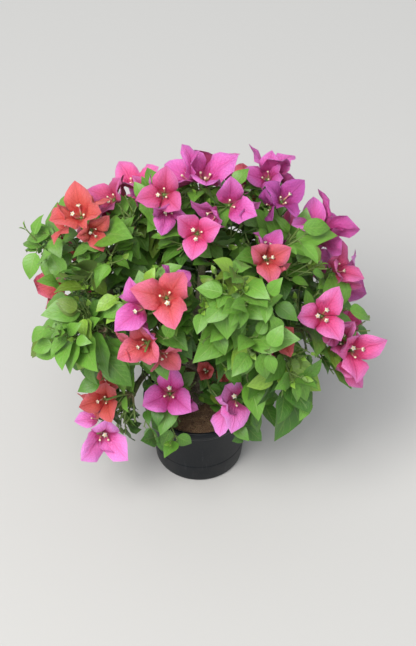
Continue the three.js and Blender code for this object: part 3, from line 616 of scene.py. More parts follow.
bark, tree, shader = new_material("bark")
place = on_object(tree)
age = add_node(tree, "ShaderNodeAttribute", attribute_name="age").outputs["Fac"]
bark_cloud = patches(tree, place, 90.0, 6.0, 0.65)
bark_fine = patches(tree, place, 520.0, 4.0, 0.6)
pores = add_node(tree, "ShaderNodeTexVoronoi", {"Vector": place, "Scale": 430.0}).outputs["Distance"]
pore_mask = times(tree, spread(tree, pores, 0.16, 0.26, 1.0, 0.0), 0.75)
wood = blended(tree, spread(tree, bark_cloud, 0.35, 0.65), BARK_BROWN, BARK_GREY)
wood = blended(tree, spread(tree, bark_fine, 0.5, 0.75, 0.0, 0.5), wood, BARK_PORE)
wood = blended(tree, pore_mask, wood, BARK_PORE)
green_share = spread(tree, plus(tree, age, times(tree, bark_cloud, 0.5)), 0.75, 1.25)
wood = blended(tree, green_share, wood, SHOOT_GREEN)
cut_share = maths(tree, "GREATER_THAN", age, 1.5)
tree.links.new(blended(tree, cut_share, wood, CUT_TAN), shader["Base Color"])
shader["Roughness"].default_value = 0.8
tree.links.new(bumped(tree, bark_fine, 0.0008, 0.7), shader["Normal"])


def bark_tube(limb, sides):
    """A limb's surface: its radius at each place along and round it, with ridges, nodes and pores as relief.

    Ridges are noise stretched along the limb. A node is a low swelling to one side, another side each time,
    and the end of a bough rolls over into its cut. Returns the points, the faces and each point's age."""
    is_trunk = limb["radii"] is None
    body = bezier(limb["curve"], 240)
    if not is_trunk:
        way = unit(limb["line"][-1] - limb["line"][-2])
        body = np.concatenate([body, body[-1] + way * np.linspace(0, GAP + KNUCKLE_LENGTH, 30)[1:, None]])
    travelled = np.concatenate([[0], np.cumsum(np.linalg.norm(np.diff(body, axis=0), axis=1))])
    length = travelled[-1]
    knuckle = 0 if is_trunk else KNUCKLE_LENGTH
    rings = int(length / BARK_STEP) + 2
    station = np.linspace(0, length, rings)
    line = np.stack([np.interp(station, travelled, body[:, axis]) for axis in range(3)], axis=-1)
    turn = np.linspace(0, 2 * math.pi, sides, endpoint=False)
    fraction = np.clip(station / (length - knuckle), 0, 1)[:, None]
    if is_trunk:
        radius = trunk_radius(fraction, turn)
    else:
        thick, thin = limb["radii"]
        past = np.clip((station - length + knuckle) / knuckle, 0, 1)[:, None]
        radius = (thick + (thin - thick) * fraction) * (1 + KNUCKLE_SWELL * past ** 0.7) + 0 * turn
        radius = radius * (1 + COLLAR_SWELL * np.exp(-station / COLLAR_LENGTH))[:, None]
    tail = np.clip((length - station) / (6 if is_trunk else 1.5), 0, 1)[:, None]
    blunt = 0.3 if is_trunk else 0.86
    radius = radius * (blunt + (1 - blunt) * np.sqrt(1 - (1 - tail) ** 2))
    node = np.round(station / NODE_SPACING)
    from_node = (station - node * NODE_SPACING)[:, None]
    swell = np.exp(-(from_node / 2.6) ** 2) * (0.35 + 0.65 * np.cos(turn - node[:, None] * NODE_TURN))
    ring_points, _ = tubes(line[None], np.ones((1, rings)), sides)
    out = ring_points.reshape(rings, sides, 3) - line[:, None]
    sample = line[:, None] + out * radius[..., None]
    stretched = np.stack([out[..., 0] * radius * 0.9, out[..., 1] * radius * 0.9,
                          out[..., 2] * radius * 0.9 + station[:, None] * 0.13], axis=-1)
    seed = len(limb["name"]) + int(length)
    ridges = lattice_noise(stretched, seed) + 0.6 * lattice_noise(2.2 * stretched, seed + 1)
    lumpy = lattice_noise(sample / 9, seed + 2)
    pore = np.clip(lattice_noise(sample / 1.7, seed + 3) - 0.55, 0, 1)
    share = radius / TRUNK_RADIUS
    relief = share * (0.34 * ridges + 0.5 * lumpy) + 0.5 * pore + 0.14 * radius * swell
    points = (line[:, None] + out * (radius + relief)[..., None]).reshape(-1, 3)
    ages = np.broadcast_to(0.0 if is_trunk else 0.25 + 0.55 * fraction, (rings, sides)).ravel()
    # The cut at the end is a ring inside the rim, set in a little, and a middle point.
    rim = points[-sides:]
    middle = rim.mean(axis=0)
    way = unit(line[-1] - line[-2])
    inner = middle + 0.8 * (rim - middle) - 0.35 * way
    points = np.concatenate([points, inner, [middle - 0.6 * way], [line[0]]])
    ages = np.concatenate([ages, np.full(sides + 1, 0.0 if is_trunk else 2.0), [0.0]])
    count = rings * sides
    quads = np.concatenate([ring_faces(rings, sides), ring_faces(2, sides, count - sides)])
    fans = [fan(count + sides, count, sides, True), fan(count + sides + 1, 0, sides, False)]
    return points, [quads, np.concatenate(fans)], ages


def joined(parts):
    """Many meshes of points and two groups of faces made one, by counting on the corners' numbers."""
    starts = np.cumsum([0] + [len(points) for points, _, _ in parts[:-1]])
    points = np.concatenate([points for points, _, _ in parts])
    faces = [np.concatenate([part[1][k] + start for part, start in zip(parts, starts)]) for k in range(2)]
    return points, faces, np.concatenate([ages for _, _, ages in parts])


trunk_points, trunk_faces, trunk_ages = bark_tube(limbs[0], TRUNK_SIDES)
add_piece("trunk_bark", trunk_points, trunk_faces, bark, "bark", ["trunk"], age=trunk_ages)
bough_points, bough_faces, bough_ages = joined([bark_tube(limb, BOUGH_SIDES) for limb in limbs[1:]])
add_piece("bough_bark", bough_points, bough_faces, bark, "bark", bough_names, age=bough_ages)

# The foliage. Leafy shoots spring round each knuckle, with leaves a third of a turn apart and heads of three
# papery bracts on short stalks. Every mass keeps to the space that lies nearer to its own heart than to any
# other's, and spurs, finer side twigs, small leaves and young tips fill in between the first ones.
SEED = 4
SEED_STEP = 1000
MASS_STEP = 77
FINE_SEED = 9
CROWN_FLOOR = 34
CELL_REACH = 46
CELL_MARGIN = 0.4
LIMB_CLEARANCE = 3.4
POT_CLEARANCE = 2.5
SHOOT_STEPS = 4
SHOOT_RADIUS = 2.1
SHOOT_TIP_RADIUS = 1.4
SHOOT_SPREAD = 64
SHOOT_JITTER = 16
LEADER_OPENING = 8
SHOWN_TWIG_STEPS = 3
SHOWN_TWIG_ARCH = 0.08
PHYLLOTAXY = 120
LEAF_OPENING = 58
LEAF_TRIES = 6
LEAF_SHRINK = 0.07
TIP_LEAF_SIZE = 0.72
LEAF_WIDTH = 0.56
LEAF_FOLD = 0.22
LEAF_SAG = 0.1
FACE_UP = 0.8
BRACT_LENGTH = 44
BRACT_WIDTH = 0.8
BRACT_FOLD = 0.12
BRACT_CUP = 0.06
BRACT_OPENING = 54
FLORET_LEAN = 24
STALK_LENGTH = 17
HEAD_DEPTH = 2.4
HEAD_SIDE = 0.6
BLADE_CORNERS = np.array([(0, 0), (0.4, 0.5), (0.74, 0.3), (1, 0), (0.74, -0.3), (0.4, -0.5), (0.5, 0)])
SINK = 0.5
ROOT_LENGTH = 8
SAMPLE_PARTS = 5
TWIG_CLEARANCE = 1.6
BLADE_CLEARANCE = 4
FINE_TWIG_RADIUS = 1.2
FINE_TWIG_TIP_RADIUS = 0.8
FINE_STEPS = 3
FINE_OPENING = 48
FINE_MARGIN = 0.5
FINE_LIMB_CLEARANCE = 1.6
FINE_TWIG_CLEARANCE = 1.0
FINE_BLADE_CLEARANCE = 2.4
FINE_TRIES = 4
SIDE_TWIG_LENGTHS = (20, 38)
SIDE_LEAF_SIZES = (30, 52)
EXTRA_LEAF_SHARES = (0.45, 0.75)
BESIDE_CLEARANCE = 1.0
BESIDE_OPENINGS = (50, 74)
BESIDE_DISTANCES = (13, 20)
BESIDE_SHARES = (0.62, 0.88)
# Spurs come in two rounds, each with bounds for their length and a spacing along the limb.
SPURS = [((9, 26), 8), ((22, 46), 6)]
SPUR_SPAN = (0.3, 0.97)
SPUR_OPENING = 64
SPUR_LEAF_PLACES = (0.45, 0.75, 0.97)
SPUR_LEAF_SIZES = (34, 58)
GENERATION_REACH = (0.95, 0.88, 0.72)
# Cones that stay open: the cosine of each one's half angle, and its reach in bract lengths or millimetres.
INSIDE_SHARE, INSIDE_REACH = 0.62, 1.3
VIEW_SHARE, VIEW_REACH = 0.56, 1.6
MIX_VIEW_SHARE, MIX_VIEW_REACH = 0.93, 150
MIX_VIEW_FOOT = (0, -30, MIX_LEVEL)
MIX_VIEW_WAY = (-93, 45)
BOX_MARGIN = 3
# Leaves and florets that show at the front: where each one is, and its azimuth and lift.
# A leaf's light green is painted light, and its deep green is painted shade.
SHOWN = [
    dict(mass="right", floret=42, at=(138, -58, 294), out=(-84, 48), shade="hot_pink"),
    dict(mass="right", floret=44, at=(176, -62, 240), out=(-66, 34), shade="hot_pink"),
    dict(mass="right", leaf=58, at=(150, -42, 226), out=(-50, -34), shade="mid"),
    dict(mass="front_right", leaf=94, at=(116, -72, 230), out=(-111, -39), shade="deep"),
    dict(mass="front_right", leaf=62, at=(68, -84, 274), out=(-104, -46), shade="mid"),
    dict(mass="front_right", leaf=60, at=(88, -92, 262), out=(-34, -24), shade="lime"),
    dict(mass="front", leaf=66, at=(24, -86, 386), out=(-90, -44), shade="light"),
    dict(mass="front_left", floret=44, at=(-38, -98, 372), out=(-100, 50), shade="coral", beside="purple"),
    dict(mass="front_left", floret=38, at=(-62, -100, 306), out=(-120, 30), shade="coral"),
    dict(mass="left", leaf=62, at=(-107, 8, 383), out=(-114, -43), shade="light"),
    dict(mass="left_mid", leaf=50, at=(-128, -56, 312), out=(-147, -24), shade="mid"),
    dict(mass="left_mid", leaf=62, at=(-118, -66, 304), out=(-82, -44), shade="mid"),
    dict(mass="left_low", floret=36, at=(-114, -64, 176), out=(-110, 30), shade="red_coral"),
    dict(mass="left_low", floret=46, at=(-119, -68, 116), out=(-100, -30), face=(-84, 14), shade="pale_pink"),
    dict(mass="left_low", leaf=50, at=(-92, -74, 170), out=(-96, -42), shade="mid"),
    dict(mass="front_low", floret=44, at=(-37, -66, 182), out=(-100, 46), shade="magenta"),
    dict(mass="front_inner", floret=46, at=(42, -70, 172), out=(-80, 40), shade="pale_pink"),
]
# The colours of each mass's other florets, in the order that they grow.
FLORET_SHADES = dict(
    top=["magenta", "hot_pink", "rose", "magenta"], left=["red_coral"], right=["hot_pink", "magenta"],
    front_left=["magenta", "coral"], back_left=["hot_pink", "rose", "coral"],
    back_right=["magenta", "hot_pink", "magenta"], front_low=["red_coral"], front_inner=["red_coral"],
    front=["coral"], top_right=["magenta", "purple", "red_coral", "magenta"], left_mid=["coral", "rose"],
    left_low=["pale_pink"], front_right=["hot_pink"], back_low=["rose", "coral", "rose"],
    left_back=["coral", "red_coral", "hot_pink"], right_back=["pale_pink", "rose", "magenta"])
# The leaf greens dealt by spray; light and deep are painted light and painted shade.
LEAF_SHADES = ("light", "mid", "olive", "deep", "lime")
# Shoots of these masses end in leaves, where no floret shows.
LEAFY_ENDS = ("front", "left_mid")
# Florets that come after the first growth, each on a twig of its own. Leaves make room for them.
LATER_CLEARANCE = 1.2
LATER_FLORETS = [
    dict(length=36, at=(-36, -6, 438), out=(-104, 48), shade="rose"),
    dict(length=38, at=(34, -18, 430), out=(-84, 44), shade="magenta"),
    dict(length=36, at=(-2, -44, 414), out=(-96, 42), shade="hot_pink"),
    dict(length=34, at=(74, -44, 372), out=(-76, 40), shade="coral"),
    dict(length=28, at=(92, -86, 286), out=(-96, 56), shade="red_coral", opening=40),
    dict(length=25, at=(8, -38, 188), out=(-100, 50), shade="red_coral", opening=28),
    dict(length=36, at=(158, -8, 318), out=(-30, 44), shade="rose"),
    dict(length=36, at=(96, 20, 400), out=(-40, 60), shade="purple"),
    dict(length=34, at=(-92, 34, 400), out=(-150, 50), shade="rose"),
    dict(length=36, at=(20, 60, 420), out=(80, 45), shade="hot_pink"),
    dict(length=36, at=(-50, 120, 330), out=(110, 30), shade="magenta"),
    dict(length=36, at=(60, 130, 330), out=(70, 30), shade="coral"),
    dict(length=34, at=(-150, 60, 300), out=(150, 25), shade="rose"),
    dict(length=34, at=(150, 60, 300), out=(30, 25), shade="magenta"),
]


def seeded_draw(seed):
    """A drawer of numbers between two bounds, the same ones for the same seed."""
    state = seed

    def between(low, high):
        nonlocal state
        state = (1664525 * state + 1013904223) % 4294967296
        return low + (high - low) * (state / 4294967296)

    return between


def opened(axis, opening, spin):
    """The way that opens from an axis by an angle, turned about it by a spin from the side nearest up."""
    aside = np.array([0.0, 1.0, 0.0]) if abs(axis[2]) > 0.95 else UP
    side = unit(aside - axis * aside.dot(axis))
    other = np.cross(axis, side)
    opening, spin = math.radians(opening), math.radians(spin)
    return axis * math.cos(opening) + (side * math.cos(spin) + other * math.sin(spin)) * math.sin(opening)


def runs_of(line, low, high):
    """A line's runs, one a row: its start, its way, and the radius of a tapering twig at its two ends."""
    radii = np.linspace(low, high, len(line))
    return np.column_stack([line[:-1], np.diff(line, axis=0), radii[:-1], radii[1:]])


def distance_to_runs(places, runs, trunk_runs=0):
    """Distance from each place to the nearest surface among the runs, each taken as a round cone."""
    offset = places[:, None] - runs[:, :3]
    way = runs[:, 3:6]
    t = np.clip((offset * way).sum(axis=-1) / (way * way).sum(axis=-1), 0, 1)
    radius = runs[:, 6] + (runs[:, 7] - runs[:, 6]) * t
    if trunk_runs:
        radius[:, :trunk_runs] = trunk_radius((np.arange(trunk_runs) + t[:, :trunk_runs]) / trunk_runs, 0)
    return (np.linalg.norm(offset - way * t[..., None], axis=-1) - radius).min(axis=1)


limb_runs = np.concatenate([runs_of(limb["line"], *(limb["radii"] or (0, 0))) for limb in limbs])


def distance_to_limbs(places):
    """Distance from each place to the nearest surface of the trunk and the boughs."""
    return distance_to_runs(places, limb_runs, TRUNK_STEPS)


def clear_of_pot(places):
    """Whether each place is above the crown's floor and not in or near the pot."""
    wide = np.hypot(places[:, 0], places[:, 1]) < RIM_RADIUS + POT_CLEARANCE
    return (places[:, 2] > CROWN_FLOOR) & ~(wide & (places[:, 2] < POT_HEIGHT + POT_CLEARANCE))


def in_own_space(places, mass, margin):
    """Whether each place lies on the mass's side of the plane halfway to every other mass's heart."""
    return ((places @ mass["walls"].T - mass["wall_places"]) < -margin).all(axis=1)


# How much of each corner of a blade goes into each of the places that are spread over it.
sample_rows = []
for k in range(6):
    for i in range(SAMPLE_PARTS + 1):
        for j in range(SAMPLE_PARTS + 1 - i):
            row = np.zeros(7)
            row[6] = 1 - (i + j) / SAMPLE_PARTS
            row[k] += i / SAMPLE_PARTS
            row[(k + 1) % 6] += j / SAMPLE_PARTS
            sample_rows.append(row)
SAMPLE_SHARES = np.array(sample_rows)


def make_blade(root, along, face, length, width, fold, sag, head):
    """A leaf or bract: its frame, the six corners of its outline, and places spread over it.

    Its sides rise from the midrib by the fold, and it sags with the square of the way along it."""
    up = unit(face - along * face.dot(along))
    side = np.cross(along, up)
    t, s = BLADE_CORNERS[:, :1].copy(), BLADE_CORNERS[:, 1:]
    t[0] = -SINK / length
    rise = fold * np.abs(s) * width * length - sag * length * np.maximum(t, 0) ** 2
    corners = root + along * t * length + side * s * width * length + up * rise
    samples = SAMPLE_SHARES @ corners
    middle = corners[6]
    reach = np.linalg.norm(corners - middle, axis=1).max()
    return dict(root=root, along=along, up=up, side=side, length=length, width=width, fold=fold, sag=sag,
                head=head, outline=corners[:6], middle=middle, reach=reach, samples=samples)


def clear_of_blades(places, middle, reach, head, mass, clearance):
    """Whether places keep their distance from all the mass's blades but those that share their head."""
    for other in mass["blades"]:
        apart = np.linalg.norm(other["middle"] - middle) - other["reach"] - reach
        if other["head"] is head or apart > clearance:
            continue
        squares = (places ** 2).sum(axis=1)[:, None] + (other["samples"] ** 2).sum(axis=1)
        if (squares - 2 * places @ other["samples"].T).min() <= clearance ** 2:
            return False
    return True


def clear_of_florets(places, mass):
    """Whether places leave the inside of each floret open, which widens from its head along its axis."""
    for floret in mass["florets"]:
        offset = places - floret["head"]
        distance = np.linalg.norm(offset, axis=1)
        inside = offset @ floret["axis"] > INSIDE_SHARE * distance
        if (inside & (distance < INSIDE_REACH * floret["length"])).any():
            return False
    return True


def open_to_view(places):
    """Whether places are in the plant's box and leave open what has to show: each floret's front and the mix.

    Each of these is a cone that widens from its foot along its own direction."""
    if (places < box_low - BOX_MARGIN).any() or (places > box_high + BOX_MARGIN).any():
        return False
    offset = places[:, None] - view_feet
    distance = np.linalg.norm(offset, axis=2)
    inside = ((offset * view_ways).sum(axis=2) > view_shares * distance) & (distance < view_reaches)
    return not inside.any()


def blade_fits(blade, mass, margin=CELL_MARGIN + 1, limb=LIMB_CLEARANCE, twig=TWIG_CLEARANCE,
               other=BLADE_CLEARANCE, fine=False):
    """Whether a blade keeps to its mass's space, clear of the pot, the limbs, the twigs and older blades."""
    samples = blade["samples"]
    if fine and not open_to_view(samples):
        return False
    if not in_own_space(blade["outline"], mass, margin).all() or not clear_of_pot(samples).all():
        return False
    if not clear_of_blades(samples, blade["middle"], blade["reach"], blade["head"], mass, other):
        return False
    if mass["twigs"]:
        beyond = samples[np.linalg.norm(samples - blade["root"], axis=1) > ROOT_LENGTH]
        runs = np.concatenate([grown["runs"] for grown in mass["twigs"]])
        if len(beyond) and not (distance_to_runs(beyond, runs) > twig).all():
            return False
    return bool((distance_to_limbs(samples) > limb).all())


def twig_fits(places, radius, mass):
    """Whether a twig's places keep to its mass's space, clear of the pot and the limbs."""
    return (in_own_space(places, mass, CELL_MARGIN + radius).all() and clear_of_pot(places).all()
            and (distance_to_limbs(places) > radius + 1).all())


def add_twig(line, mass, low=SHOOT_RADIUS, high=SHOOT_TIP_RADIUS, bare=False, blooming=False, **facts):
    """A twig that the mass has from now on. A bare one has no leaves along it."""
    runs = runs_of(line, low, high)
    twig = dict(line=line, radii=(low, high), runs=runs, bare=bare, blooming=blooming, **facts)
    mass["twigs"].append(twig)
    return twig


def make_bract(head, axis, spin, length, opening=BRACT_OPENING):
    """A bract that opens from its head's axis, with its root behind the head and a little to the side."""
    root = head - axis * HEAD_DEPTH + opened(axis, 90, spin) * HEAD_SIDE
    along = opened(axis, opening, spin)
    return make_blade(root, along, axis, length, BRACT_WIDTH, BRACT_FOLD, -BRACT_CUP, head)


def add_floret(foot, head, axis, length, shade, mass, between, **clearances):
    """Three bracts round a head, tried at three turns about its axis. The turn where most fit is kept.

    There is no floret where fewer than two bracts fit."""
    first = between(0, 120)
    best = []
    for more in (0, 40, 80):
        bracts = [make_bract(head, axis, first + more + third, length) for third in (0, 120, 240)]
        bracts = [bract for bract in bracts if blade_fits(bract, mass, **clearances)]
        if len(bracts) > len(best):
            best = bracts
    if len(best) < 2:
        return False
    for bract in best:
        bract.update(kind="bract", shade=shade)
    mass["blades"].extend(best)
    mass["florets"].append(dict(foot=foot, head=head, axis=axis, length=length, shade=shade, bracts=best))
    return True


def floret_shade(mass):
    """The colour of the mass's next floret."""
    shades = FLORET_SHADES[mass["bough"]["name"]]
    shade = shades[mass["dealt"] % len(shades)]
    mass["dealt"] += 1
    return shade


def grow_shown(mass, between):
    """The twigs, leaves and florets of a mass that have places of their own."""
    stem_foot, stem_end = mass["stem"]
    for item in SHOWN:
        if item["mass"] != mass["bough"]["name"]:
            continue
        way = heading(*item["out"])
        place = np.array(item["at"], float)
        foot = place - way * STALK_LENGTH if "floret" in item else place
        start = stem_foot + (stem_end - stem_foot) * between(0.6, 0.9)
        middle = (start + foot) / 2 + UP * SHOWN_TWIG_ARCH * np.linalg.norm(foot - start)
        line = bezier([start, middle, foot], SHOWN_TWIG_STEPS)
        add_twig(line, mass, bare=True, turn=0, shade=item["shade"])
        if "floret" in item:
            axis = heading(*item.get("face", item["out"]))
            add_floret(foot, place, axis, item["floret"], item["shade"], mass, between)
            if "beside" in item:
                mass["florets"][-1]["beside"] = item["beside"]
        else:
            leaf = make_blade(place, way, mass["out"] + UP * FACE_UP, item["leaf"], LEAF_WIDTH, LEAF_FOLD,
                              LEAF_SAG, place)
            if blade_fits(leaf, mass):
                leaf.update(kind="leaf", shade=item["shade"])
                mass["blades"].append(leaf)


def grow_shoots(mass, between):
    """The first shoot goes straight out of the knuckle's end, and the others open round its middle."""
    bough = mass["bough"]
    stem_foot, stem_end = mass["stem"]
    for k in range(bough["shoots"]):
        wobble = between(-1, 1)
        opening = LEADER_OPENING * (1 + wobble) if k == 0 else SHOOT_SPREAD + SHOOT_JITTER * wobble
        spin = 360 * k / (bough["shoots"] - 1) + between(-SHOOT_JITTER, SHOOT_JITTER)
        way = opened(mass["out"], opening, spin)
        start = stem_foot + (stem_end - stem_foot) * (0.9 if k == 0 else between(0.45, 0.85))
        step = bough["shoot"] * between(0.8, 1.15) / SHOOT_STEPS
        turn = between(0, 360)
        line = [start]
        for _ in range(SHOOT_STEPS):
            way = unit(way + UP * bough["rise"])
            end = line[-1] + way * step
            places = np.array([(line[-1] + end) / 2, end])
            if not twig_fits(places, SHOOT_RADIUS, mass):
                break
            line.append(end)
        if len(line) > 2:
            add_twig(np.array(line), mass, blooming=k < bough["blooms"], turn=turn)


def grow_floret(twig, mass, between):
    """A floret leans off the shoot's end and out of the crown. Without room there, the shoot is cut back."""
    length = BRACT_LENGTH * between(0.88, 1.12)
    stalk = STALK_LENGTH * between(0.7, 1.1)
    for last in range(len(twig["line"]) - 1, 1, -1):
        tip = twig["line"][last]
        way = unit(tip - twig["line"][last - 1])
        axis = unit(opened(way, FLORET_LEAN, twig["turn"]) + mass["out"] * 0.4)
        if add_floret(tip, tip + axis * stalk, axis, length, floret_shade(mass), mass, between):
            twig["line"] = twig["line"][:last + 1]
            twig["runs"] = runs_of(twig["line"], *twig["radii"])
            return
        mass["dealt"] -= 1


def grow_leaf(root, way, turn, size, shade, mass, between, tries=LEAF_TRIES, **clearances):
    """A leaf that opens from its twig, tried on the twig's other sides and smaller each time."""
    lift = between(-0.34, 0.04)
    sag = between(0.06, 0.2)
    roll = between(-0.35, 0.35)
    for attempt in range(tries):
        along = unit(opened(way, LEAF_OPENING, turn + PHYLLOTAXY * attempt) + UP * lift)
        face = mass["out"] + UP * FACE_UP + opened(along, 90, 90) * roll
        length = size * (1 - LEAF_SHRINK * attempt)
        leaf = make_blade(root, along, face, length, LEAF_WIDTH, LEAF_FOLD, sag, root)
        if blade_fits(leaf, mass, **clearances):
            leaf.update(kind="leaf", shade=shade)
            mass["blades"].append(leaf)
            return True
    return False


def spray_green_and_painted_light(place, mass, between):
    """The spray's green: painted light high up and far out, painted shade low down and near the trunk."""
    out = (place - mass["stem"][0]).dot(mass["out"]) / CELL_REACH
    # How much light is painted on: more high up and far out, less low down and near the trunk.
    light = 0.35 * out + (place[2] - 250) / 260 + between(-0.55, 0.55)
    if between(0, 1) < 0.1:
        return "lime"
    # light is the lit green and deep the shaded green; olive and lime are greens of their own.
    if light > 0.45:
        return "light"
    return "deep" if light < -0.05 else "olive" if 0.1 < light < 0.24 else "mid"


masses = []
for bough in BOUGHS:
    line = next(limb["line"] for limb in limbs if limb["name"] == bough["name"])
    way = unit(line[-1] - line[-2])
    out = heading(*bough["out"])
    masses.append(dict(
        bough=bough, out=out, stem=(line[-1] + way * GAP, line[-1] + way * KNUCKLE_LENGTH),
        heart=line[-1] + out * bough.get("reach", CELL_REACH), twigs=[], florets=[], blades=[], dealt=0))
for mass in masses:
    others = np.array([other["heart"] for other in masses if other is not mass])
    mass["walls"] = unit(others - mass["heart"])
    mass["wall_places"] = (mass["walls"] * (others + mass["heart"]) / 2).sum(axis=1)

for number, mass in enumerate(masses, 1):
    between = seeded_draw(SEED * SEED_STEP + number * MASS_STEP)
    shade_draw = seeded_draw(FINE_SEED * SEED_STEP * 7 + number * MASS_STEP)
    grow_shown(mass, between)
    grow_shoots(mass, between)
    for twig in mass["twigs"]:
        if twig["blooming"]:
            grow_floret(twig, mass, between)
    for twig in mass["twigs"]:
        if twig["bare"]:
            continue
        line = twig["line"]
        twig["shade"] = spray_green_and_painted_light(line[-1], mass, shade_draw)
        for i in range(1, len(line)):
            last = i == len(line) - 1
            root = line[i - 1] + (line[i] - line[i - 1]) * (0.9 if last else 0.6)
            size = mass["bough"]["leaf"] * (TIP_LEAF_SIZE if last else 1) * between(0.8, 1.18)
            grow_leaf(root, unit(line[i] - line[i - 1]), twig["turn"] + PHYLLOTAXY * i, size, twig["shade"],
                      mass, between)
    mass["blades"] = [blade for blade in mass["blades"]
                      if blade["kind"] == "bract" or clear_of_florets(blade["samples"], mass)]
    corners = np.concatenate([blade["outline"] for blade in mass["blades"]])
    mass["reach"] = np.linalg.norm(corners - mass["heart"], axis=1).max()

fine_clearances = dict(margin=CELL_MARGIN + FINE_MARGIN, limb=FINE_LIMB_CLEARANCE, twig=FINE_TWIG_CLEARANCE,
                       other=FINE_BLADE_CLEARANCE, fine=True)
beside_clearances = dict(fine_clearances, other=BESIDE_CLEARANCE, fine=False)


def grow_side_twig(start, way, length, reach, mass, between, parent_shade):
    """A side twig that stops short of anything in its way, with leaves along it and a young tip."""
    line = [start]
    for _ in range(FINE_STEPS):
        way = unit(way + UP * 0.06 + mass["out"] * 0.05)
        end = line[-1] + way * length / FINE_STEPS
        places = np.array([(line[-1] + end) / 2, end])
        clear = (twig_fits(places, FINE_TWIG_RADIUS, mass)
                 and np.linalg.norm(end - mass["heart"]) < reach and open_to_view(places)
                 and clear_of_blades(places, end, length / FINE_STEPS, None, mass, 2.0))
        if not clear:
            break
        line.append(end)
    if len(line) < 3:
        return
    turn = between(0, 360)
    line = np.array(line)
    shade = parent_shade if between(0, 1) < 0.6 else spray_green_and_painted_light(line[-1], mass, between)
    add_twig(line, mass, FINE_TWIG_RADIUS, FINE_TWIG_TIP_RADIUS, turn=turn, shade=shade, young=True)
    for i in range(1, len(line)):
        last = i == len(line) - 1
        root = line[i - 1] + (line[i] - line[i - 1]) * (0.95 if last else 0.7)
        size = between(*SIDE_LEAF_SIZES) * (0.8 if last else 1)
        grow_leaf(root, unit(line[i] - line[i - 1]), turn + PHYLLOTAXY * i, size, shade, mass, between,
                  FINE_TRIES, **fine_clearances)


def out_of_the_way(blade, floret, twig):
    """Whether a blade leaves room for a floret: its open front, its bracts and its twig."""
    return (clear_of_florets(blade["samples"], dict(florets=[floret]))
            and clear_of_blades(blade["samples"], blade["middle"], blade["reach"], blade["head"],
                                dict(blades=floret["bracts"]), LATER_CLEARANCE)
            and (distance_to_runs(blade["samples"], twig["runs"]) > LATER_CLEARANCE / 2).all())


def grow_later(item, between):
    """A floret with a place of its own, on a twig from the nearest shoot.

    Leaves that are in its way go, and it may lean into another mass's space where no bract is in its way."""
    head = np.array(item["at"], float)
    axis = heading(*item["out"])
    mass = min(masses, key=lambda one: np.linalg.norm(one["heart"] - head))
    foot = head - axis * STALK_LENGTH * 0.8
    shoots = [twig["line"][1:] for twig in mass["twigs"] if not twig["bare"]]
    nodes = np.concatenate(shoots + [[mass["stem"][1]]])
    start = nodes[np.argmin(np.linalg.norm(nodes - foot - UP * 8, axis=1))]
    middle = (start + foot) / 2 - UP * 0.06 * np.linalg.norm(foot - start)
    line = bezier([start, middle, foot], SHOWN_TWIG_STEPS)
    twig = add_twig(line, mass, FINE_TWIG_RADIUS + 0.3, FINE_TWIG_TIP_RADIUS, bare=True,
                    turn=between(0, 360), shade=item["shade"])
    others = dict(blades=[blade for one in masses for blade in one["blades"]
                          if one is not mass and blade["kind"] == "bract"])
    first = between(0, 120)
    bracts = []
    for spin in (first, first + 120, first + 240):
        bract = make_bract(head, axis, spin, item["length"], item.get("opening", BRACT_OPENING))
        if clear_of_blades(bract["samples"], bract["middle"], bract["reach"], head, others, LATER_CLEARANCE):
            bract.update(kind="bract", shade=item["shade"])
            bracts.append(bract)
    if len(bracts) < 2:
        return
    later = dict(foot=foot, head=head, axis=axis, length=item["length"], shade=item["shade"], bracts=bracts)
    for one in masses:
        one["blades"] = [blade for blade in one["blades"] if out_of_the_way(blade, later, twig)
                         or blade["kind"] == "bract" and one is not mass]
    kept = [id(blade) for blade in mass["blades"]]
    for floret in mass["florets"]:
        floret["bracts"] = [bract for bract in floret["bracts"] if id(bract) in kept]
    mass["florets"] = [floret for floret in mass["florets"] if len(floret["bracts"]) > 1]
    whole = [id(floret["head"]) for floret in mass["florets"]]
    mass["blades"] = bracts + [blade for blade in mass["blades"]
                               if blade["kind"] == "leaf" or id(blade["head"]) in whole]
    mass["florets"].append(later)


def grow_beside(floret, mass, between):
    """Smaller florets that open to the sides of a floret, from the same place on the twig."""
    first = between(0, 120)
    shades = FLORET_SHADES[mass["bough"]["name"]]
    for k in range(3):
        axis = opened(floret["axis"], between(*BESIDE_OPENINGS), first + 120 * k)
        head = floret["foot"] + axis * between(*BESIDE_DISTANCES)
        length = floret["length"] * between(*BESIDE_SHARES)
        shade = shades[0] if between(0, 1) < 0.2 else floret["shade"]
        if k == 0:
            shade = floret.get("beside", shade)
        if np.linalg.norm(head + axis * length * 0.6 - mass["heart"]) < mass["reach"]:
            add_floret(floret["foot"], head, axis, length, shade, mass, between, **beside_clearances)


